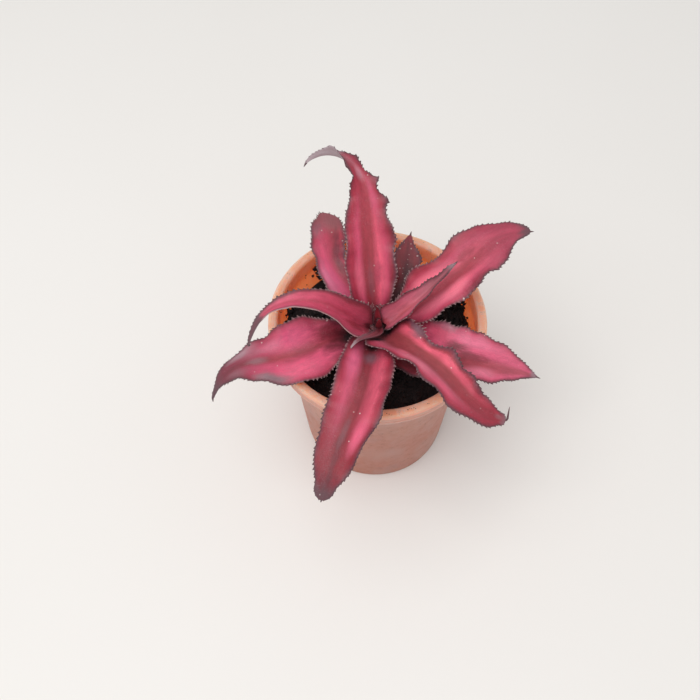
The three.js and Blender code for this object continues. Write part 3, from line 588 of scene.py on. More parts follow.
class Blade:
    """The surface of one leaf: its point at a share s along and u across, and at a height off the middle."""

    def __init__(self, leaf, reach, rows, seed, small=False):
        self.leaf, self.seed, self.small = leaf, seed, small
        self.rim, self.rim_scale = (0.12, 2.5) if small else (0.2, 1)
        self.s = self.shares(rows)
        self.rib, self.left, self.up, self.forward = rib_frames(leaf, self.s, reach)
        self.half = self.width() / 2
        self.fold = np.radians(along(ANGLE_AT, leaf["fold"], self.s))
        self.swell = np.sin(np.pi * self.s)
        self.ripple = {side: self.waviness(side) for side in (-1, 1)}
        self.edge = {side: 0 * self.s for side in (-1, 1)}
        margins = {side: np.vstack([self.margin(i, side) for i in range(len(self.s))]) for side in (-1, 1)}
        self.run = {side: np.concatenate([[0], np.cumsum(np.linalg.norm(np.diff(line, axis=0), axis=1))])
                    for side, line in margins.items()}
        pitch = SPINE["pitch"] * (0.5 if small else 1) * leaf.get("dense", 1)
        self.spines = {side: spine_places(self.run[side][-1], pitch, 0.6 if small else rng.uniform(1.5, 3))
                       for side in (-1, 1)}
        gaps = {side: np.abs(self.run[side][:, None] - self.spines[side][None]).min(1) for side in (-1, 1)}
        self.near = {side: np.exp(-((gap / 0.5) ** 2)) for side, gap in gaps.items()}
        self.edge = {side: self.margin_detail(side) for side in (-1, 1)}

    def shares(self, rows):
        """Shares of the length that the rows lie at, closer together round the end."""
        end = self.leaf.get("blunt", (1, 0))[0] / self.leaf["length"]
        turn = np.linspace(0, np.pi / 2, END_ROWS)[1:]
        return np.concatenate([np.linspace(0, 1 - end, rows), 1 - end * (1 - np.sin(turn))])

    def width(self):
        """Widths of the rows, with the end rounded where the leaf has a blunt one."""
        plain = along(WIDTH_AT, self.leaf["widths"], self.s)
        radius, share, square = (*self.leaf.get("blunt", (1, 0)), 2)[:3]
        short = np.maximum(0, 1 - (1 - self.s) * self.leaf["length"] / radius)
        return np.maximum(plain, plain + share * (2 * radius * (1 - short**square) ** (1 / square) - plain))

    def margin_detail(self, side):
        """How far the margin stands out from its plain line: a point at each spine, and lobes."""
        x = self.s * self.leaf["length"]
        web = 0.15 if self.small else SPINE["web"]
        edge = web * self.leaf.get("teeth", {}).get(side, 1) * self.near[side]
        for where, at, height, reach in self.leaf.get("lobes", []):
            if where == side:
                edge = edge + height * np.exp(-(((x - at * self.leaf["length"]) / reach) ** 2))
        return edge * np.minimum(1, 8 * (1 - self.s))

    def waviness(self, side):
        """Small unevenness of the blade's half on that side, in millimetres."""
        x = self.s * self.leaf["length"]
        total = 0 * x
        for length, height in ((17, 0.26), (9.5, 0.2), (5.2, 0.09)):
            total = total + height * np.sin(2 * np.pi * (x / length + rng.uniform()))
        return total * self.swell * (0.3 if self.small else 1)

    def row(self, i, u, face):
        """Points across row i, on the lower (-1) or upper (1) face, or midway (0)."""
        leaf, off = self.leaf, np.abs(u)
        side = np.where(u < 0, -1, 1)
        phase = np.where(u < 0, leaf["phases"][0], leaf["phases"][1])
        swing = 2 * np.pi * (leaf["waves"] * self.s[i] + phase)
        swell = self.swell[i] * off**3
        edge = np.where(side < 0, self.edge[-1][i], self.edge[1][i]) * off**8
        ripple = np.where(side < 0, self.ripple[-1][i], self.ripple[1][i]) * off**1.5
        slim = min(1.0, 0.35 + self.half[i] / 3)
        thick = slim * (BLADE["rib"] + (BLADE["margin"] - BLADE["rib"]) * off**1.5)
        half, fold = self.half[i], self.fold[i]
        trough = BLADE["trough"]
        soft = (np.hypot(off, trough) - trough) / (math.hypot(1, trough) - trough)
        rise = half * soft * np.sin(fold) + swell * leaf["wave"] * np.sin(swing) + ripple + face * thick / 2
        rise = rise + edge * np.sin(fold)
        spread = half * off * np.cos(fold) + swell * leaf["scallop"] * np.cos(swing) + edge * np.cos(fold)
        return self.rib[i] - (side * spread)[:, None] * self.left[i] + rise[:, None] * self.up[i]

    def margin(self, i, side):
        return self.row(i, np.array([float(side)]), 0)[0]

    def flat(self, s, across):
        """A place on the blade laid flat, in millimetres, with the leaf's own offset for its noise."""
        seed = 0 * across + self.seed
        return np.stack([seed + s * self.leaf["length"], across, seed], -1)


def add_rows(parts, blade, columns):
    """The blade itself. Round each row run one margin, the lower face, the other margin, the upper face."""
    turn = np.linspace(-1, 1, columns)
    u = np.sign(turn) * (1 - (1 - np.abs(turn)) ** 1.35)
    across = np.concatenate([[-1], u, [1], u[::-1]])
    face = np.concatenate([[0.5], 0 * u, [0.5], 0 * u + 1])
    rows, count = len(blade.s), len(across)
    points, place, flat, teeth = [], [], [], []
    for i, s in enumerate(blade.s):
        upper, lower = blade.row(i, u, 1), blade.row(i, u, -1)
        ends = (upper[[0, -1]] + lower[[0, -1]]) / 2
        out = np.array([1, -1])[:, None] * blade.left[i] * blade.rim
        near = np.where(across < 0, blade.near[-1][i], blade.near[1][i])
        points.append(np.vstack([ends[:1] + out[:1], lower, ends[1:] + out[1:], upper[::-1]]))
        place.append(np.stack([0 * across + s, across, face], -1))
        flat.append(blade.flat(s, across * blade.half[i]))
        teeth.append(np.stack([0 * across, 0 * across + blade.half[i] * blade.rim_scale, near], -1))
    faces = turned(ring_faces(rows, count) + end_faces(rows, count))
    parts.add(np.vstack(points), faces, place=np.vstack(place), flat=np.vstack(flat), teeth=np.vstack(teeth))


def add_spine(parts, blade, side, run):
    """A spine at one tooth of a margin: three square sections and a point, leaning to the leaf's tip."""
    leaf = blade.leaf
    i = min(int(np.searchsorted(blade.run[side], run)), len(blade.s) - 2)
    s, half = blade.s[i], blade.half[i]
    root = blade.margin(i, side)
    ahead = blade.margin(i + 1, side) - blade.margin(max(i - 2, 0), side)
    ahead /= np.linalg.norm(ahead) + 1e-9
    upward = blade.up[i] * math.cos(blade.fold[i]) + side * blade.left[i] * math.sin(blade.fold[i])
    out = np.cross(ahead, upward) * side
    out /= np.linalg.norm(out) + 1e-9
    size = 0.8 if blade.small else 1
    girth = max(half, leaf.get("blunt", (0, 0))[0])
    height = size * SPINE["height"] * rng.uniform(0.6, 1.2) * min(1, 0.45 + girth / 5)
    height *= leaf.get("teeth", {}).get(side, 1)
    for where, at, more, near in leaf.get("tufts", []):
        height *= 1 + (where == side) * more * math.exp(-(((s - at) / near) ** 2))
    lean = math.radians(SPINE["lean"] + rng.uniform(-16, 16))
    tilt = rng.uniform(-0.3, 0.45)
    aim = out * math.cos(lean) + ahead * math.sin(lean) + upward * tilt
    aim /= np.linalg.norm(aim)
    slender = leaf.get("dense", 1)
    width = slender * size * SPINE["base"] * rng.uniform(0.8, 1.15)
    thick = slender * size * SPINE["thick"]
    points = []
    for at, share, bend in SPINE_SECTIONS:
        middle = root + aim * height * at + ahead * height * bend - out * (0.12 if at < 0 else 0)
        for a, b in ((-1, 0), (0, -1), (1, 0), (0, 1)):
            points.append(middle + ahead * a * width / 2 * share + upward * b * thick / 2 * share)
    points.append(root + aim * height + ahead * height * 0.24)
    faces = ring_faces(3, 4) + [(8 + k, 8 + (k + 1) % 4, 12) for k in range(4)]
    risen = np.repeat([0.15, 0.45, 0.8, 1], [4, 4, 4, 1]) * (rng.uniform(0.45, 1) if blade.small else 1)
    parts.add(points, faces if side > 0 else turned(faces), place=[s, side, 0.7],
              flat=blade.flat(s, side * half),
              teeth=np.stack([risen, 0 * risen + half * blade.rim_scale, 0 * risen + 1], -1))


def add_dry_point(parts, blade, steps=9, sides=6):
    """The leaf's thin dry point, bending on from its tip."""
    leaf = blade.leaf
    length, turn, rise = leaf["tail"]
    flat = math.radians(leaf["azimuth"] + leaf["turn"][-1])
    pitch = math.radians(leaf["pitch"][-1])
    middle = blade.rib[-1] - blade.forward[-1] * 0.6
    points = []
    for k in range(steps):
        t = k / (steps - 1)
        a, b = flat + math.radians(turn) * min(1, 4 * t), pitch + math.radians(rise) * min(1, 4 * t)
        ahead = np.array([math.cos(b) * math.cos(a), math.cos(b) * math.sin(a), math.sin(b)])
        across = np.array([-math.sin(a), math.cos(a), 0])
        over = np.cross(ahead, across)
        radius = 0.5 * (1 - t) ** 0.7 + 0.06
        for i in range(sides):
            around = 2 * math.pi * i / sides
            points.append(middle + radius * (across * math.cos(around) + 0.7 * over * math.sin(around)))
        middle = middle + ahead * (length + 0.6) / (steps - 1)
    faces = turned(ring_faces(steps, sides) + end_faces(steps, sides))
    parts.add(points, faces, place=[1, 0, 1], flat=blade.flat(1, 0), teeth=[0.35, 1, 0])


def add_blade(parts, blade, columns):
    """A whole leaf, with a spine at each tooth of its margins."""
    add_rows(parts, blade, columns)
    for side in (-1, 1):
        for run in blade.spines[side]:
            add_spine(parts, blade, side, run)
    if "tail" in blade.leaf:
        add_dry_point(parts, blade)


def leaf_material(name, look):
    """Satin leaf: bright bands, a dark middle and margins, fine lengthwise fibres, scurf and pale specks."""
    paint = Paint(name)
    s, u, upper, _ = paint.attribute("place")
    *_, flat = paint.attribute("flat")
    spine, half, tooth, _ = paint.attribute("teeth")

    broad = paint.noise(paint.stretch(flat, 0.05, 0.16), 1.0, 3.0, 0.55)
    blotch = paint.noise(paint.stretch(flat, 0.22, 0.5), 1.0, 4.0, 0.6)
    fibres = paint.noise(paint.stretch(flat, 0.12, 3.2), 1.0, 3.0, 0.6)
    grain = paint.noise(paint.stretch(flat, 1.5, 1.9), 1.6, 4.0, 0.65)

    # Bands across the blade, with soft wandering borders.
    wander = (broad - 0.5) * 0.36
    fringe = (grain - 0.5) * 0.14
    colour = paint.ramp(paint.math("MULTIPLY_ADD", u + wander + fringe, 0.5, 0.5, clamp=True), look["across"])

    # The bands fade to another colour towards the leaf's end. The base lies in its base colour, partly the
    # leaf's own deep red and partly painted light and shade at the crowded stem, and the foot goes near black
    # as painted shade.
    warped = s + (blotch - 0.5) * 0.1
    far_from, far_colour, far_share = look["far"]
    far = paint.step(warped, far_from - 0.12, far_from + 0.28, 0.0, far_share)
    colour = paint.mix(far, colour, far_colour)
    base_colour, base_to = look["base"]
    colour = paint.mix(paint.step(warped, 0.3 * base_to, base_to, 0.85, 0.0), colour, base_colour)
    colour = paint.mix(paint.step(s, 0.03, 0.14, look.get("foot", 0.6), 0.0), colour, DEEP)

    # Soft patches with uneven borders: scurf and colour marks, painted highlights and painted shadows.
    for at, across, reach, wide, to, strength in look["patches"]:
        dx, dy = (s - at) * (1 / reach), (u - across) * (1 / wide)
        gap = paint.math("SQRT", dx * dx + dy * dy)
        colour = paint.mix(paint.step(gap + (blotch - 0.5) * 0.7, 0.15, 1.05, strength, 0.0), colour, to)

    # Mottling, and fibres that run the length of the blade.
    shade = paint.step(blotch, 0.25, 0.75, 0.87, 1.1) + paint.step(fibres, 0.3, 0.7, -0.03, 0.03)
    shade = shade + paint.step(grain, 0.3, 0.7, -0.07, 0.07)
    grey = paint.value(paint.node("ShaderNodeCombineColor", Red=shade, Green=shade, Blue=shade))
    colour = paint.mix(1.0, colour, grey, "MULTIPLY")

    # Purple-grey margin about a millimetre wide, darker between the teeth. Towards the base the teeth turn
    # pale, partly their own colour and partly painted highlight where they stand against other leaves, and
    # the dark between them is partly painted shade.
    depth = (1.0 - paint.math("ABSOLUTE", u)) * half
    uneven = (blotch - 0.5) * 1.2
    colour = paint.mix(paint.step(depth + uneven, 0.4, 1.9, 0.5, 0.0), colour, PLUM)
    toward_base = look.get("toward_base") or paint.step(s, 0.3, 0.62, 1.0, 0.0)
    bead = look.get("bead") or paint.mix(toward_base, (92, 70, 74), (158, 124, 126))
    rim = paint.mix(tooth, look.get("rim", (80, 36, 46)), bead)
    # Near the foot the margin goes near black: painted shade.
    rim = paint.mix(paint.step(s, 0.07, 0.15, 0.8, 0.0), rim, DEEP)
    # A painted highlight along the left margin, where the teeth catch the light.
    if "pale_edge" in look:
        rim = paint.mix(paint.step(u, -0.9, -0.8, look["pale_edge"], 0.0), rim, (206, 170, 168))
    colour = paint.mix(paint.step(depth + uneven * 0.3, 0.05, 0.7, 0.85, 0.0), colour, rim)

    # The grey tip, and the silvery scales strewn over the blade.
    tip_colour, tip_reach = look["tip"]
    blur = 0.1 if tip_reach > 0.15 else 0.6
    tip = paint.step(warped, 1 - (1 + blur) * tip_reach, 1 - (1 - blur) * tip_reach)
    colour = paint.mix(tip * 0.85, colour, tip_colour)
    scales = paint.step(paint.noise(paint.stretch(flat, 2.6, 1.1), 1.3, 3.0, 0.7), 0.52, 0.68)
    colour = paint.mix(scales * paint.step(broad, 0.42, 0.66, 0.0, 0.12), colour, SILVER)

    # A few pale specks of mineral and dust.
    cells = paint.node("ShaderNodeTexVoronoi", {"voronoi_dimensions": "2D"}, Scale=0.42, Vector=flat)
    chances = paint.node("ShaderNodeSeparateColor", Color=paint.value(cells, "Color"))
    size = paint.step(paint.value(chances, 1), 0.0, 1.0, 0.5, 1.3)
    dot = paint.step(paint.value(cells, "Distance") / size, 0.06, 0.15, 1.0, 0.0)
    plain = paint.step(s, 0.45, 0.8, *look.get("plain", (0.97, 0.97)))
    speck = dot * paint.step(paint.value(chances, 0), plain, plain + 0.02, 0.0, 0.65)
    colour = paint.mix(speck, colour, (226, 210, 204))

    # Underside: silvery grey scales over dull rose.
    low, high = look.get("under", ((140, 98, 106), (178, 164, 168)))
    under = paint.mix(paint.step(fibres, 0.3, 0.7, 0.55, 0.9), low, high)
    colour = paint.mix(paint.step(upper, 0.3, 0.6), under, colour)

    # Spines: dusky at the root, paler towards the point.
    spine_root = paint.mix(toward_base, (84, 58, 62), (128, 88, 92))
    spine_point = paint.mix(toward_base, (128, 104, 104), (206, 180, 176))
    pointed = paint.mix(paint.step(spine, 0.4, 1.0), spine_root, spine_point)
    # Near the foot the spines go dark: painted shade.
    if "bead" not in look:
        pointed = paint.mix(paint.step(s, 0.06, 0.13, 0.85, 0.0), pointed, (48, 22, 26))
    colour = paint.mix(paint.step(spine, 0.0, 0.3, 0.0, 0.9), colour, pointed)

    height = fibres + (grain * 0.35 + scales * 0.15)
    rough = paint.step(grain, 0.3, 0.7, LEAF_ROUGHNESS - 0.04, LEAF_ROUGHNESS + 0.1) + tip * 0.2
    return paint.finish(Base_Color=colour, Roughness=rough, Normal=paint.bump(height, 0.00015),
                        Specular_IOR_Level=0.42, Sheen_Weight=0.04, Sheen_Roughness=0.4)


def make_leaves():
    for number, (name, leaf) in enumerate(LEAVES.items()):
        rows = max(LEAF_ROWS["least"], int(leaf["length"] * LEAF_ROWS["per_mm"]))
        parts = Parts("place", "flat", "teeth")
        add_blade(parts, Blade(leaf, BASE_REACH, rows, 37.0 * number), BLADE["columns"])
        points, faces, attributes = parts.whole()
        add_mesh(f"{name}_blade", points, faces, leaf_material(f"{name}_skin", leaf), name, attributes)


# ---- Heart ----
def heart_leaves(name, leaves, look, node=None, bud=False):
    parts = Parts("place", "flat", "teeth")
    for number, leaf in enumerate(leaves):
        rows = max(HEART_ROWS["least"], int(leaf["length"] * HEART_ROWS["per_mm"]))
        blade = Blade(leaf, HEART_REACH, rows, 400 + 11 * number, small=True)
        add_blade(parts, blade, HEART_ROWS["columns"])
    if bud:
        foot = SOIL_HEIGHT + HEART["rise"]
        radius, tall = HEART["bud_radius"], HEART["bud_height"]
        profile = [(radius * 0.8, foot), (radius, foot + 0.4), (radius, foot + 0.6 * tall),
                   (radius * 0.7, foot + 0.85 * tall), (radius * 0.3, foot + tall)]
        core = lathe(profile, BUD_SIDES, STEM["x"], STEM["y"])
        faces = ring_faces(len(profile), BUD_SIDES) + end_faces(len(profile), BUD_SIDES)
        parts.add(core, faces, place=[0.08, 0, 1], flat=[0, 0, 500] + (core - core.mean(0)), teeth=[0, 3, 0])
    points, faces, attributes = parts.whole()
    add_mesh(name, points, faces, leaf_material(f"{name}_skin", look), node, attributes)


def make_heart():
    rolled = dict(
        across=[(0, WINE), (0.2, MAROON), (0.5, (150, 40, 52)), (0.8, MAROON), (1, WINE)],
        far=(0.6, (104, 22, 34), 0.7), tip=(WINE, 0.06), base=((56, 16, 24), 0.2), patches=[],
        under=((108, 24, 36), (150, 40, 52)), rim=(34, 8, 14), bead=(112, 76, 80), toward_base=1.0,
    )
    opening = dict(
        across=[(0, DUSK), (0.2, (160, 80, 90)), (0.5, (128, 56, 66)), (0.8, (160, 80, 90)), (1, DUSK)],
        far=(0.5, (130, 76, 84), 0.8), tip=((160, 142, 146), 0.12), base=(WINE, 0.35), patches=[],
        under=((110, 48, 58), (142, 84, 92)), rim=(70, 34, 42), bead=(120, 84, 90), toward_base=1.0,
    )
    heart_leaves("heart_rolled_leaves", HEART_LEAVES[:3], rolled, "heart", bud=True)
    heart_leaves("heart_opening_leaf", HEART_LEAVES[3:], opening)


# ---- Stem ----
def make_stem():
    deep = STEM["root_depth"]
    profile = [(0.4, -deep), (STEM["root_radius"], 2 - deep), (STEM["radius"], -4)]
    # Rings of leaf scars, from just under the soil to the leaves.
    for k in range(STEM_RINGS):
        height = -3.5 + k * (STEM["top"] - 3) / (STEM_RINGS - 1)
        profile.append((STEM["radius"] - (0.35 if k % 2 else 0.05), height))
    profile += [(STEM["radius"] - 0.2, STEM["top"] - 2.5), (STEM["tip_radius"], STEM["top"])]
    points = lathe([(r, SOIL_HEIGHT + z) for r, z in profile], STEM_SIDES, STEM["x"], STEM["y"])
    faces = ring_faces(len(profile), STEM_SIDES) + end_faces(len(profile), STEM_SIDES)
    paint = Paint("stem_bark")
    place = paint.place()
    rings = paint.noise(paint.stretch(place, 120, 120, 900), 1.0, 3.0, 0.6)
    spots = paint.noise(place, 900.0, 3.0, 0.6)
    colour = paint.ramp(rings * 0.6 + spots * 0.4,
                        [(0.3, (36, 20, 20)), (0.5, (66, 42, 38)), (0.7, (104, 74, 64))])
    bark = paint.finish(Base_Color=colour, Roughness=paint.step(spots, 0.3, 0.7, 0.7, 0.9),
                        Normal=paint.bump(rings, 0.0006))
    add_mesh("stem_caudex", points, faces, bark, "stem")


# ---- Pot ----
def pot_radius(z):
    """Radius of the pot's outside at a height: a straight taper, then a soft flare up to the rim's band."""
    z = np.asarray(z, float)
    straight = BASE_RADIUS + (NECK_RADIUS - BASE_RADIUS) * z / NECK_HEIGHT
    t = np.clip((z - NECK_HEIGHT) / (POT_HEIGHT - RIM_HEIGHT - NECK_HEIGHT), 0, 1)
    smooth = t * t * (3 - 2 * t)
    return np.where(z < NECK_HEIGHT, straight, straight + (RIM_RADIUS - straight) * smooth)


def inner_radius(z):
    return np.minimum(pot_radius(z) - WALL, RIM_RADIUS - RIM_WIDTH - 1)


def arc(x, z, radius, start, end, steps):
    turns = np.radians(np.linspace(start, end, steps))
    return [(x + radius * math.cos(t), z + radius * math.sin(t)) for t in turns]


def pot_material():
    """Moulded plastic: dusty pink-brown outside, worn peach rim, clean orange inside."""
    paint = Paint("moulded_terracotta_plastic")
    inside, level, round_about, _ = paint.attribute("place")
    place = paint.place()
    cloud = paint.noise(place, 45.0, 4.0, 0.6)
    dust = paint.noise(place, 260.0, 5.0, 0.65)
    fine = paint.noise(place, 1600.0, 3.0, 0.6)
    streaks = paint.noise(paint.stretch(place, 260, 260, 18), 1.0, 4.0, 0.6)

    outer = paint.ramp(level, [(0.0, (180, 111, 95)), (0.4, (186, 117, 102)), (0.85, (202, 137, 122)),
                               (1.0, (212, 152, 138))])
    haze = paint.step(cloud, 0.42, 0.7) * paint.step(dust, 0.35, 0.7, 0.35, 1.0)
    outer = paint.mix(haze * 0.3, outer, (206, 182, 176))
    lilac = paint.step(paint.noise(place, 70.0, 3.0, 0.5, 0.6), 0.55, 0.72) * 0.2
    outer = paint.mix(lilac, outer, (160, 118, 120))
    outer = paint.mix(paint.step(streaks, 0.35, 0.75, 0.0, 0.12), outer, (156, 98, 82))

    inner = paint.mix(paint.step(cloud, 0.3, 0.7), (255, 116, 78), (255, 124, 88))
    inner = paint.mix(paint.step(level, 0.88, 0.94), inner, (255, 158, 128))
    inner = paint.mix(paint.step(level, 0.93, 1.0, 0.0, 0.15), inner, (252, 176, 150))
    inner = paint.mix(paint.step(streaks, 0.5, 0.75, 0.0, 0.2), inner, (254, 176, 150))

    rim = paint.mix(paint.step(cloud, 0.35, 0.65), (248, 152, 124), (242, 160, 140))
    rim = paint.mix(paint.step(dust * 0.6 + fine * 0.4, 0.46, 0.6, 0.0, 0.5), rim, (238, 188, 178))

    colour = paint.mix(paint.step(inside, 0.0, 1.0), outer, inner)
    colour = paint.mix(paint.step(round_about, 0.3, 0.8), colour, rim)
    colour = paint.mix(paint.step(dust + fine * 0.5, 0.82, 0.98, 0.0, 0.3), colour, (96, 62, 52))
    rough = paint.step(dust, 0.3, 0.7, 0.5, 0.7) + inside * -0.08
    height = fine * 0.3 + (dust * 0.4 + streaks * 0.3)
    # Thin plastic: light from outside shows through the wall.
    return paint.finish(Base_Color=colour, Roughness=rough, Normal=paint.bump(height, 0.00012),
                        Subsurface_Weight=1.0, Subsurface_Radius=(1.0, 0.55, 0.4), Subsurface_Scale=0.02)


def pot_profile():
    """(radius, height) pairs from the base's edge, up the outside, over the rim and down to the floor."""
    band = POT_HEIGHT - RIM_HEIGHT
    edge = RIM_RADIUS - RIM_WIDTH
    floor_edge = float(inner_radius(FLOOR))
    profile = arc(BASE_RADIUS - BASE_FILLET, BASE_FILLET, BASE_FILLET, -90, -2, 8)
    for z in [*np.linspace(6, NECK_HEIGHT, 14), *np.linspace(NECK_HEIGHT + 1, band - 0.9, 20)]:
        profile.append((float(pot_radius(z)), float(z)))
    # The rim's band stands a little proud of the flare under it.
    profile += [(RIM_RADIUS - 0.32, band - 0.6), (RIM_RADIUS - 0.26, band - 0.2),
                (RIM_RADIUS - 0.06, band + 0.2), (RIM_RADIUS, band + 0.7), (RIM_RADIUS, POT_HEIGHT - LIP)]
    profile += arc(RIM_RADIUS - LIP, POT_HEIGHT - LIP, LIP, 15, 90, 6)
    profile += [(edge + 0.1, POT_HEIGHT - 0.02), (edge - 0.35, POT_HEIGHT - 0.2),
                (edge - LIP * 0.8, POT_HEIGHT - LIP * 0.7), (edge - LIP, POT_HEIGHT - 1.4 * LIP)]
    for z in [*np.linspace(POT_HEIGHT - 2.5, NECK_HEIGHT, 22), *np.linspace(70, FLOOR + 1, 10)]:
        profile.append((float(inner_radius(z)), float(z)))
    return profile + [(floor_edge - 0.3, FLOOR + 0.3), (floor_edge - 1, FLOOR)]


def make_pot():
    rings = pot_profile()
    points = np.vstack([lathe(rings, POT_SIDES), [[0, 0, 0], [0, 0, FLOOR]]])
    faces = ring_faces(len(rings), POT_SIDES)
    bottom, top, last = len(points) - 2, len(points) - 1, (len(rings) - 1) * POT_SIDES
    for i in range(POT_SIDES):
        j = (i + 1) % POT_SIDES
        faces += [(bottom, j, i), (top, last + i, last + j)]
    pot = add_mesh("pot_shell", points, faces, pot_material(), "pot")
    cut_drains(pot)
    mark_places(pot.data)


def cut_drains(pot):
    """The drainage holes, cut and kept in the mesh."""
    parts = Parts()
    for k in range(DRAINS["count"]):
        turn = 2 * math.pi * k / DRAINS["count"]
        x, y = DRAINS["circle"] * math.cos(turn), DRAINS["circle"] * math.sin(turn)
        plug = lathe([(DRAINS["radius"], -FLOOR), (DRAINS["radius"], 2 * FLOOR)], HOLE_SIDES, x, y)
        parts.add(plug, ring_faces(2, HOLE_SIDES) + end_faces(2, HOLE_SIDES))
    points, faces, _ = parts.whole()
    mesh = bpy.data.meshes.new("drain_cutters")
    mesh.from_pydata((points * MM).tolist(), [], faces)
    cutter = bpy.data.objects.new("drain_cutters", mesh)
    bpy.context.scene.collection.objects.link(cutter)
    modifier = pot.modifiers.new("drains", "BOOLEAN")
    modifier.operation = "DIFFERENCE"
    modifier.object = cutter
    modifier.solver = "EXACT"
    bpy.context.view_layer.update()
    whole = bpy.data.meshes.new_from_object(pot.evaluated_get(bpy.context.evaluated_depsgraph_get()))
    pot.modifiers.clear()
    pot.data = whole
    whole.name = "pot_shell"
    bpy.data.objects.remove(cutter)


def mark_places(mesh):
    """Where each point of the pot lies: inside it or not, how high, and on the rim or not."""
    mesh.polygons.foreach_set("use_smooth", [True] * len(mesh.polygons))
    mesh.set_sharp_from_angle(angle=math.radians(40))
    co = np.empty(3 * len(mesh.vertices), np.float32)
    mesh.vertices.foreach_get("co", co)
    co = co.reshape(-1, 3) / MM
    radius, z = np.hypot(co[:, 0], co[:, 1]), co[:, 2]
    inside = (radius < pot_radius(z) - WALL / 2) & (z > FLOOR - 0.5) & (z < POT_HEIGHT - 1)
    add_layer(mesh, "place", np.stack([inside, z / POT_HEIGHT, z > POT_HEIGHT - 1.25], -1))


# ---- Soil ----
def soil_top(x, y):
    """Height of the soil's lumpy surface at a place, as in the solids."""
    lumps = (np.sin(0.31 * x + 1.2) * np.cos(0.27 * y - 0.4) + 0.6 * np.sin(0.63 * x - 0.5 * y)
             + 0.4 * np.cos(0.9 * y + 0.7 * x + 2))
    return SOIL_HEIGHT + SOIL_LUMP / 2 * lumps


def soil_material():
    """Moist peat mix: near black, with brown fibres and a few paler grains."""
    paint = Paint("potting_mix")
    place = paint.place()
    lumps = paint.noise(place, 420.0, 5.0, 0.7)
    grit = paint.noise(place, 1500.0, 4.0, 0.7)
    browns = [(0.3, (16, 12, 13)), (0.5, (32, 25, 26)), (0.62, (54, 42, 40)), (0.76, (92, 72, 64))]
    colour = paint.ramp(lumps * 0.5 + grit * 0.5, browns)
    return paint.finish(Base_Color=colour, Roughness=paint.step(lumps, 0.3, 0.7, 0.75, 1.0),
                        Specular_IOR_Level=0.25, Normal=paint.bump(lumps + grit * 0.5, 0.0009))


def rough_noise(x, y, count, shortest, longest):
    """Uneven relief from crossing waves, about -1 to 1."""
    total = 0 * x
    for _ in range(count):
        length = math.exp(rng.uniform(math.log(shortest), math.log(longest)))
        turn, phase = rng.uniform(0, 2 * math.pi), rng.uniform(0, 2 * math.pi)
        run = x * math.cos(turn) + y * math.sin(turn)
        total = total + length**0.6 * np.sin(2 * math.pi * run / length + phase)
    return total / (count**0.5 * longest**0.6 * 0.5)


def lumps_mesh(places, sizes):
    """Crumbs of those half sizes at those places: balls, each turned and dented its own way."""
    round_lump = bmesh.new()
    bmesh.ops.create_icosphere(round_lump, subdivisions=2, radius=1)
    ball = np.array([v.co[:] for v in round_lump.verts])
    ball_faces = [tuple(v.index for v in f.verts) for f in round_lump.faces]
    round_lump.free()
    parts = Parts()
    for place, size in zip(places, sizes):
        dents = 1 + rng.uniform(-0.28, 0.28, len(ball))[:, None]
        turn = np.linalg.qr(rng.normal(size=(3, 3)))[0]
        if np.linalg.det(turn) < 0:
            turn[:, 0] *= -1
        squash = rng.uniform(0.55, 1.2, 3)
        parts.add((ball * dents * squash) @ turn.T * size + place, ball_faces)
    return parts.whole()[:2]


def within_wall(x, y, z, size=0.0):
    """The place, drawn in where soil of that half size would come out through the pot's wall."""
    limit = inner_radius(z) + WALL / 2 - size
    share = np.minimum(1, limit / np.maximum(np.hypot(x, y), 1))
    return x * share, y * share


def soil_surface(wall_radius, hole):
    """Rings of the surface, from the wall inwards. Each shifts a little from the pot's axis to the stem's."""
    rings = []
    for share in np.linspace(1, 0, SOIL_RINGS):
        radius = hole + (wall_radius - hole) * share
        rings.append(lathe([(radius, 0.0)], SOIL_SIDES, STEM["x"] * (1 - share), STEM["y"] * (1 - share)))
    surface = np.vstack(rings)
    x, y = surface[:, 0], surface[:, 1]
    relief = rough_noise(x, y, 28, 1.6, 9.0) * 0.9 + rough_noise(x, y, 30, 0.9, 2.4) * 0.45
    fall_from = SOIL_FALL["from"]
    outwards = np.clip((np.hypot(x, y) - fall_from) / (wall_radius - fall_from - 2), 0, 1)
    away = np.hypot(x - HOLLOW["x"], y - HOLLOW["y"]) / HOLLOW["reach"]
    surface[:, 2] = soil_top(x, y)
    surface[:, 2] += np.clip(relief, -1.6, 1.8) - SOIL_FALL["depth"] * outwards
    surface[:, 2] -= HOLLOW["depth"] * np.exp(-(away**2))
    surface[:, 0], surface[:, 1] = within_wall(x, y, surface[:, 2])
    return surface


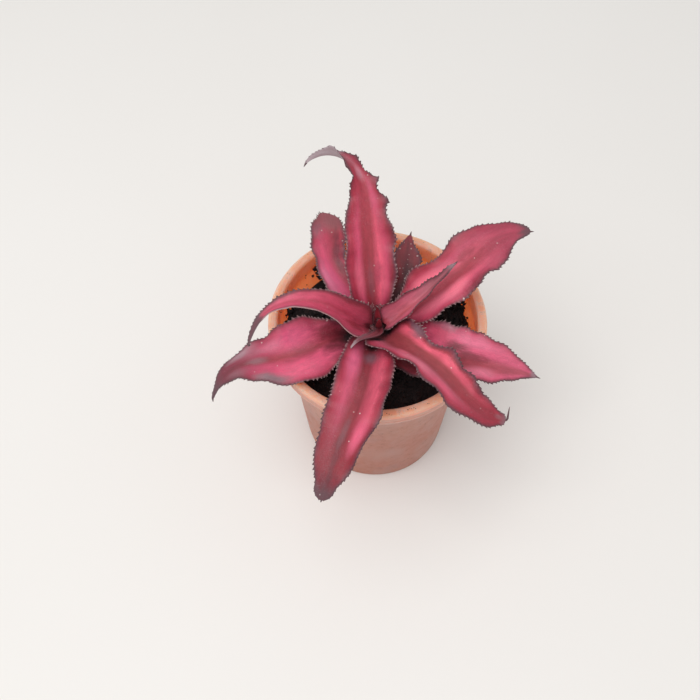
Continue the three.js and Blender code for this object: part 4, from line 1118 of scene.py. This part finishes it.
def make_soil():
    bottom = FLOOR + CLEARANCE
    walls = [bottom, 10, 30, 55, NECK_HEIGHT, NECK_HEIGHT + 4, NECK_HEIGHT + 8]
    sides = [(float(inner_radius(z)) - CLEARANCE - (1.5 if z == bottom else 0), z) for z in walls]
    wall_radius = float(inner_radius(SOIL_HEIGHT - 2 * SOIL_LUMP)) - CLEARANCE
    hole = STEM["radius"] + CLEARANCE
    surface = soil_surface(wall_radius, hole)
    depth = lathe([(hole, SOIL_HEIGHT - STEM["root_depth"] - CLEARANCE)], SOIL_SIDES, STEM["x"], STEM["y"])
    points = np.vstack([lathe(sides, SOIL_SIDES), surface, depth])
    count = len(points) // SOIL_SIDES
    faces = ring_faces(count, SOIL_SIDES) + end_faces(count, SOIL_SIDES)
    material = soil_material()
    add_mesh("soil_bed", points, faces, material, "soil")

    def height(px, py):
        return surface[np.argmin((surface[:, 0] - px) ** 2 + (surface[:, 1] - py) ** 2), 2]

    places, sizes = [], []

    def drop(radius, angle, z, size):
        places.append((radius * math.cos(angle), radius * math.sin(angle), z))
        sizes.append(size)

    # Crumbs lying on the surface.
    while len(places) < LOOSE_CRUMBS["count"]:
        radius, turn = (wall_radius - 0.6) * math.sqrt(rng.uniform()), rng.uniform(0, 2 * math.pi)
        px, py = radius * math.cos(turn), radius * math.sin(turn)
        if math.hypot(px - STEM["x"], py - STEM["y"]) < STEM["radius"] + 1.4:
            continue
        size = rng.choice(LOOSE_CRUMBS["sizes"], p=LOOSE_CRUMBS["odds"]) * rng.uniform(0.8, 1.2)
        z = height(px, py) + 0.25 * size
        places.append((*within_wall(px, py, z, 1.5 * size), z))
        sizes.append(size)

    # Clumps all along the wall, heaps against it, and crumbs that stick to it.
    banks = [(turn, "clump", 0) for turn in np.linspace(0, 360, WALL_CLUMPS, endpoint=False)]
    for turn, spread, top, many in HEAPS:
        banks += [(turn + rng.normal() * spread, "heap", top) for _ in range(many)]
    for start, end, top, many in STUCK_CRUMBS:
        banks += [(rng.uniform(start, end), "stuck", top) for _ in range(many)]
    for turn, kind, top in banks:
        a = math.radians(turn + rng.uniform(-0.8, 0.8))
        size = rng.uniform(0.2, 0.42) if kind == "stuck" else rng.uniform(0.5, 1.15)
        rise = rng.uniform(-0.3, 0.8) if kind == "clump" else rng.uniform(0, 1) ** 1.3 * top
        z = min(height(wall_radius * math.cos(a), wall_radius * math.sin(a)) + rise, POT_HEIGHT - 1.5)
        drop(float(inner_radius(z)) - 1.05 * size - 0.1, a, z, size)

    # A few crumbs on the rim.
    for turn in RIM_CRUMBS_AT:
        size = rng.uniform(0.13, 0.26)
        radius = RIM_RADIUS - RIM_WIDTH / 2 + rng.uniform(-0.9, 0.9)
        drop(radius, math.radians(turn), POT_HEIGHT + 0.7 * size, size)
    points, faces = lumps_mesh(places, sizes)
    add_mesh("soil_crumbs", points, faces, material)


def make_floor():
    far = FLOOR_REACH
    mesh = bpy.data.meshes.new("floor")
    mesh.from_pydata([(-far, -far, 0), (far, -far, 0), (far, far, 0), (-far, far, 0)], [], [(0, 1, 2, 3)])
    paint = Paint("pale_floor")
    cloud = paint.noise(paint.place(), 3.0, 3.0, 0.5)
    mesh.materials.append(paint.finish(
        Base_Color=paint.mix(cloud, (230, 226, 221), (236, 233, 229)), Roughness=0.8))
    floor = bpy.data.objects.new("floor", mesh)
    bpy.context.scene.collection.objects.link(floor)


make_camera()
make_floor()
make_daylight()
make_leaves()
make_heart()
make_stem()
make_pot()
make_soil()
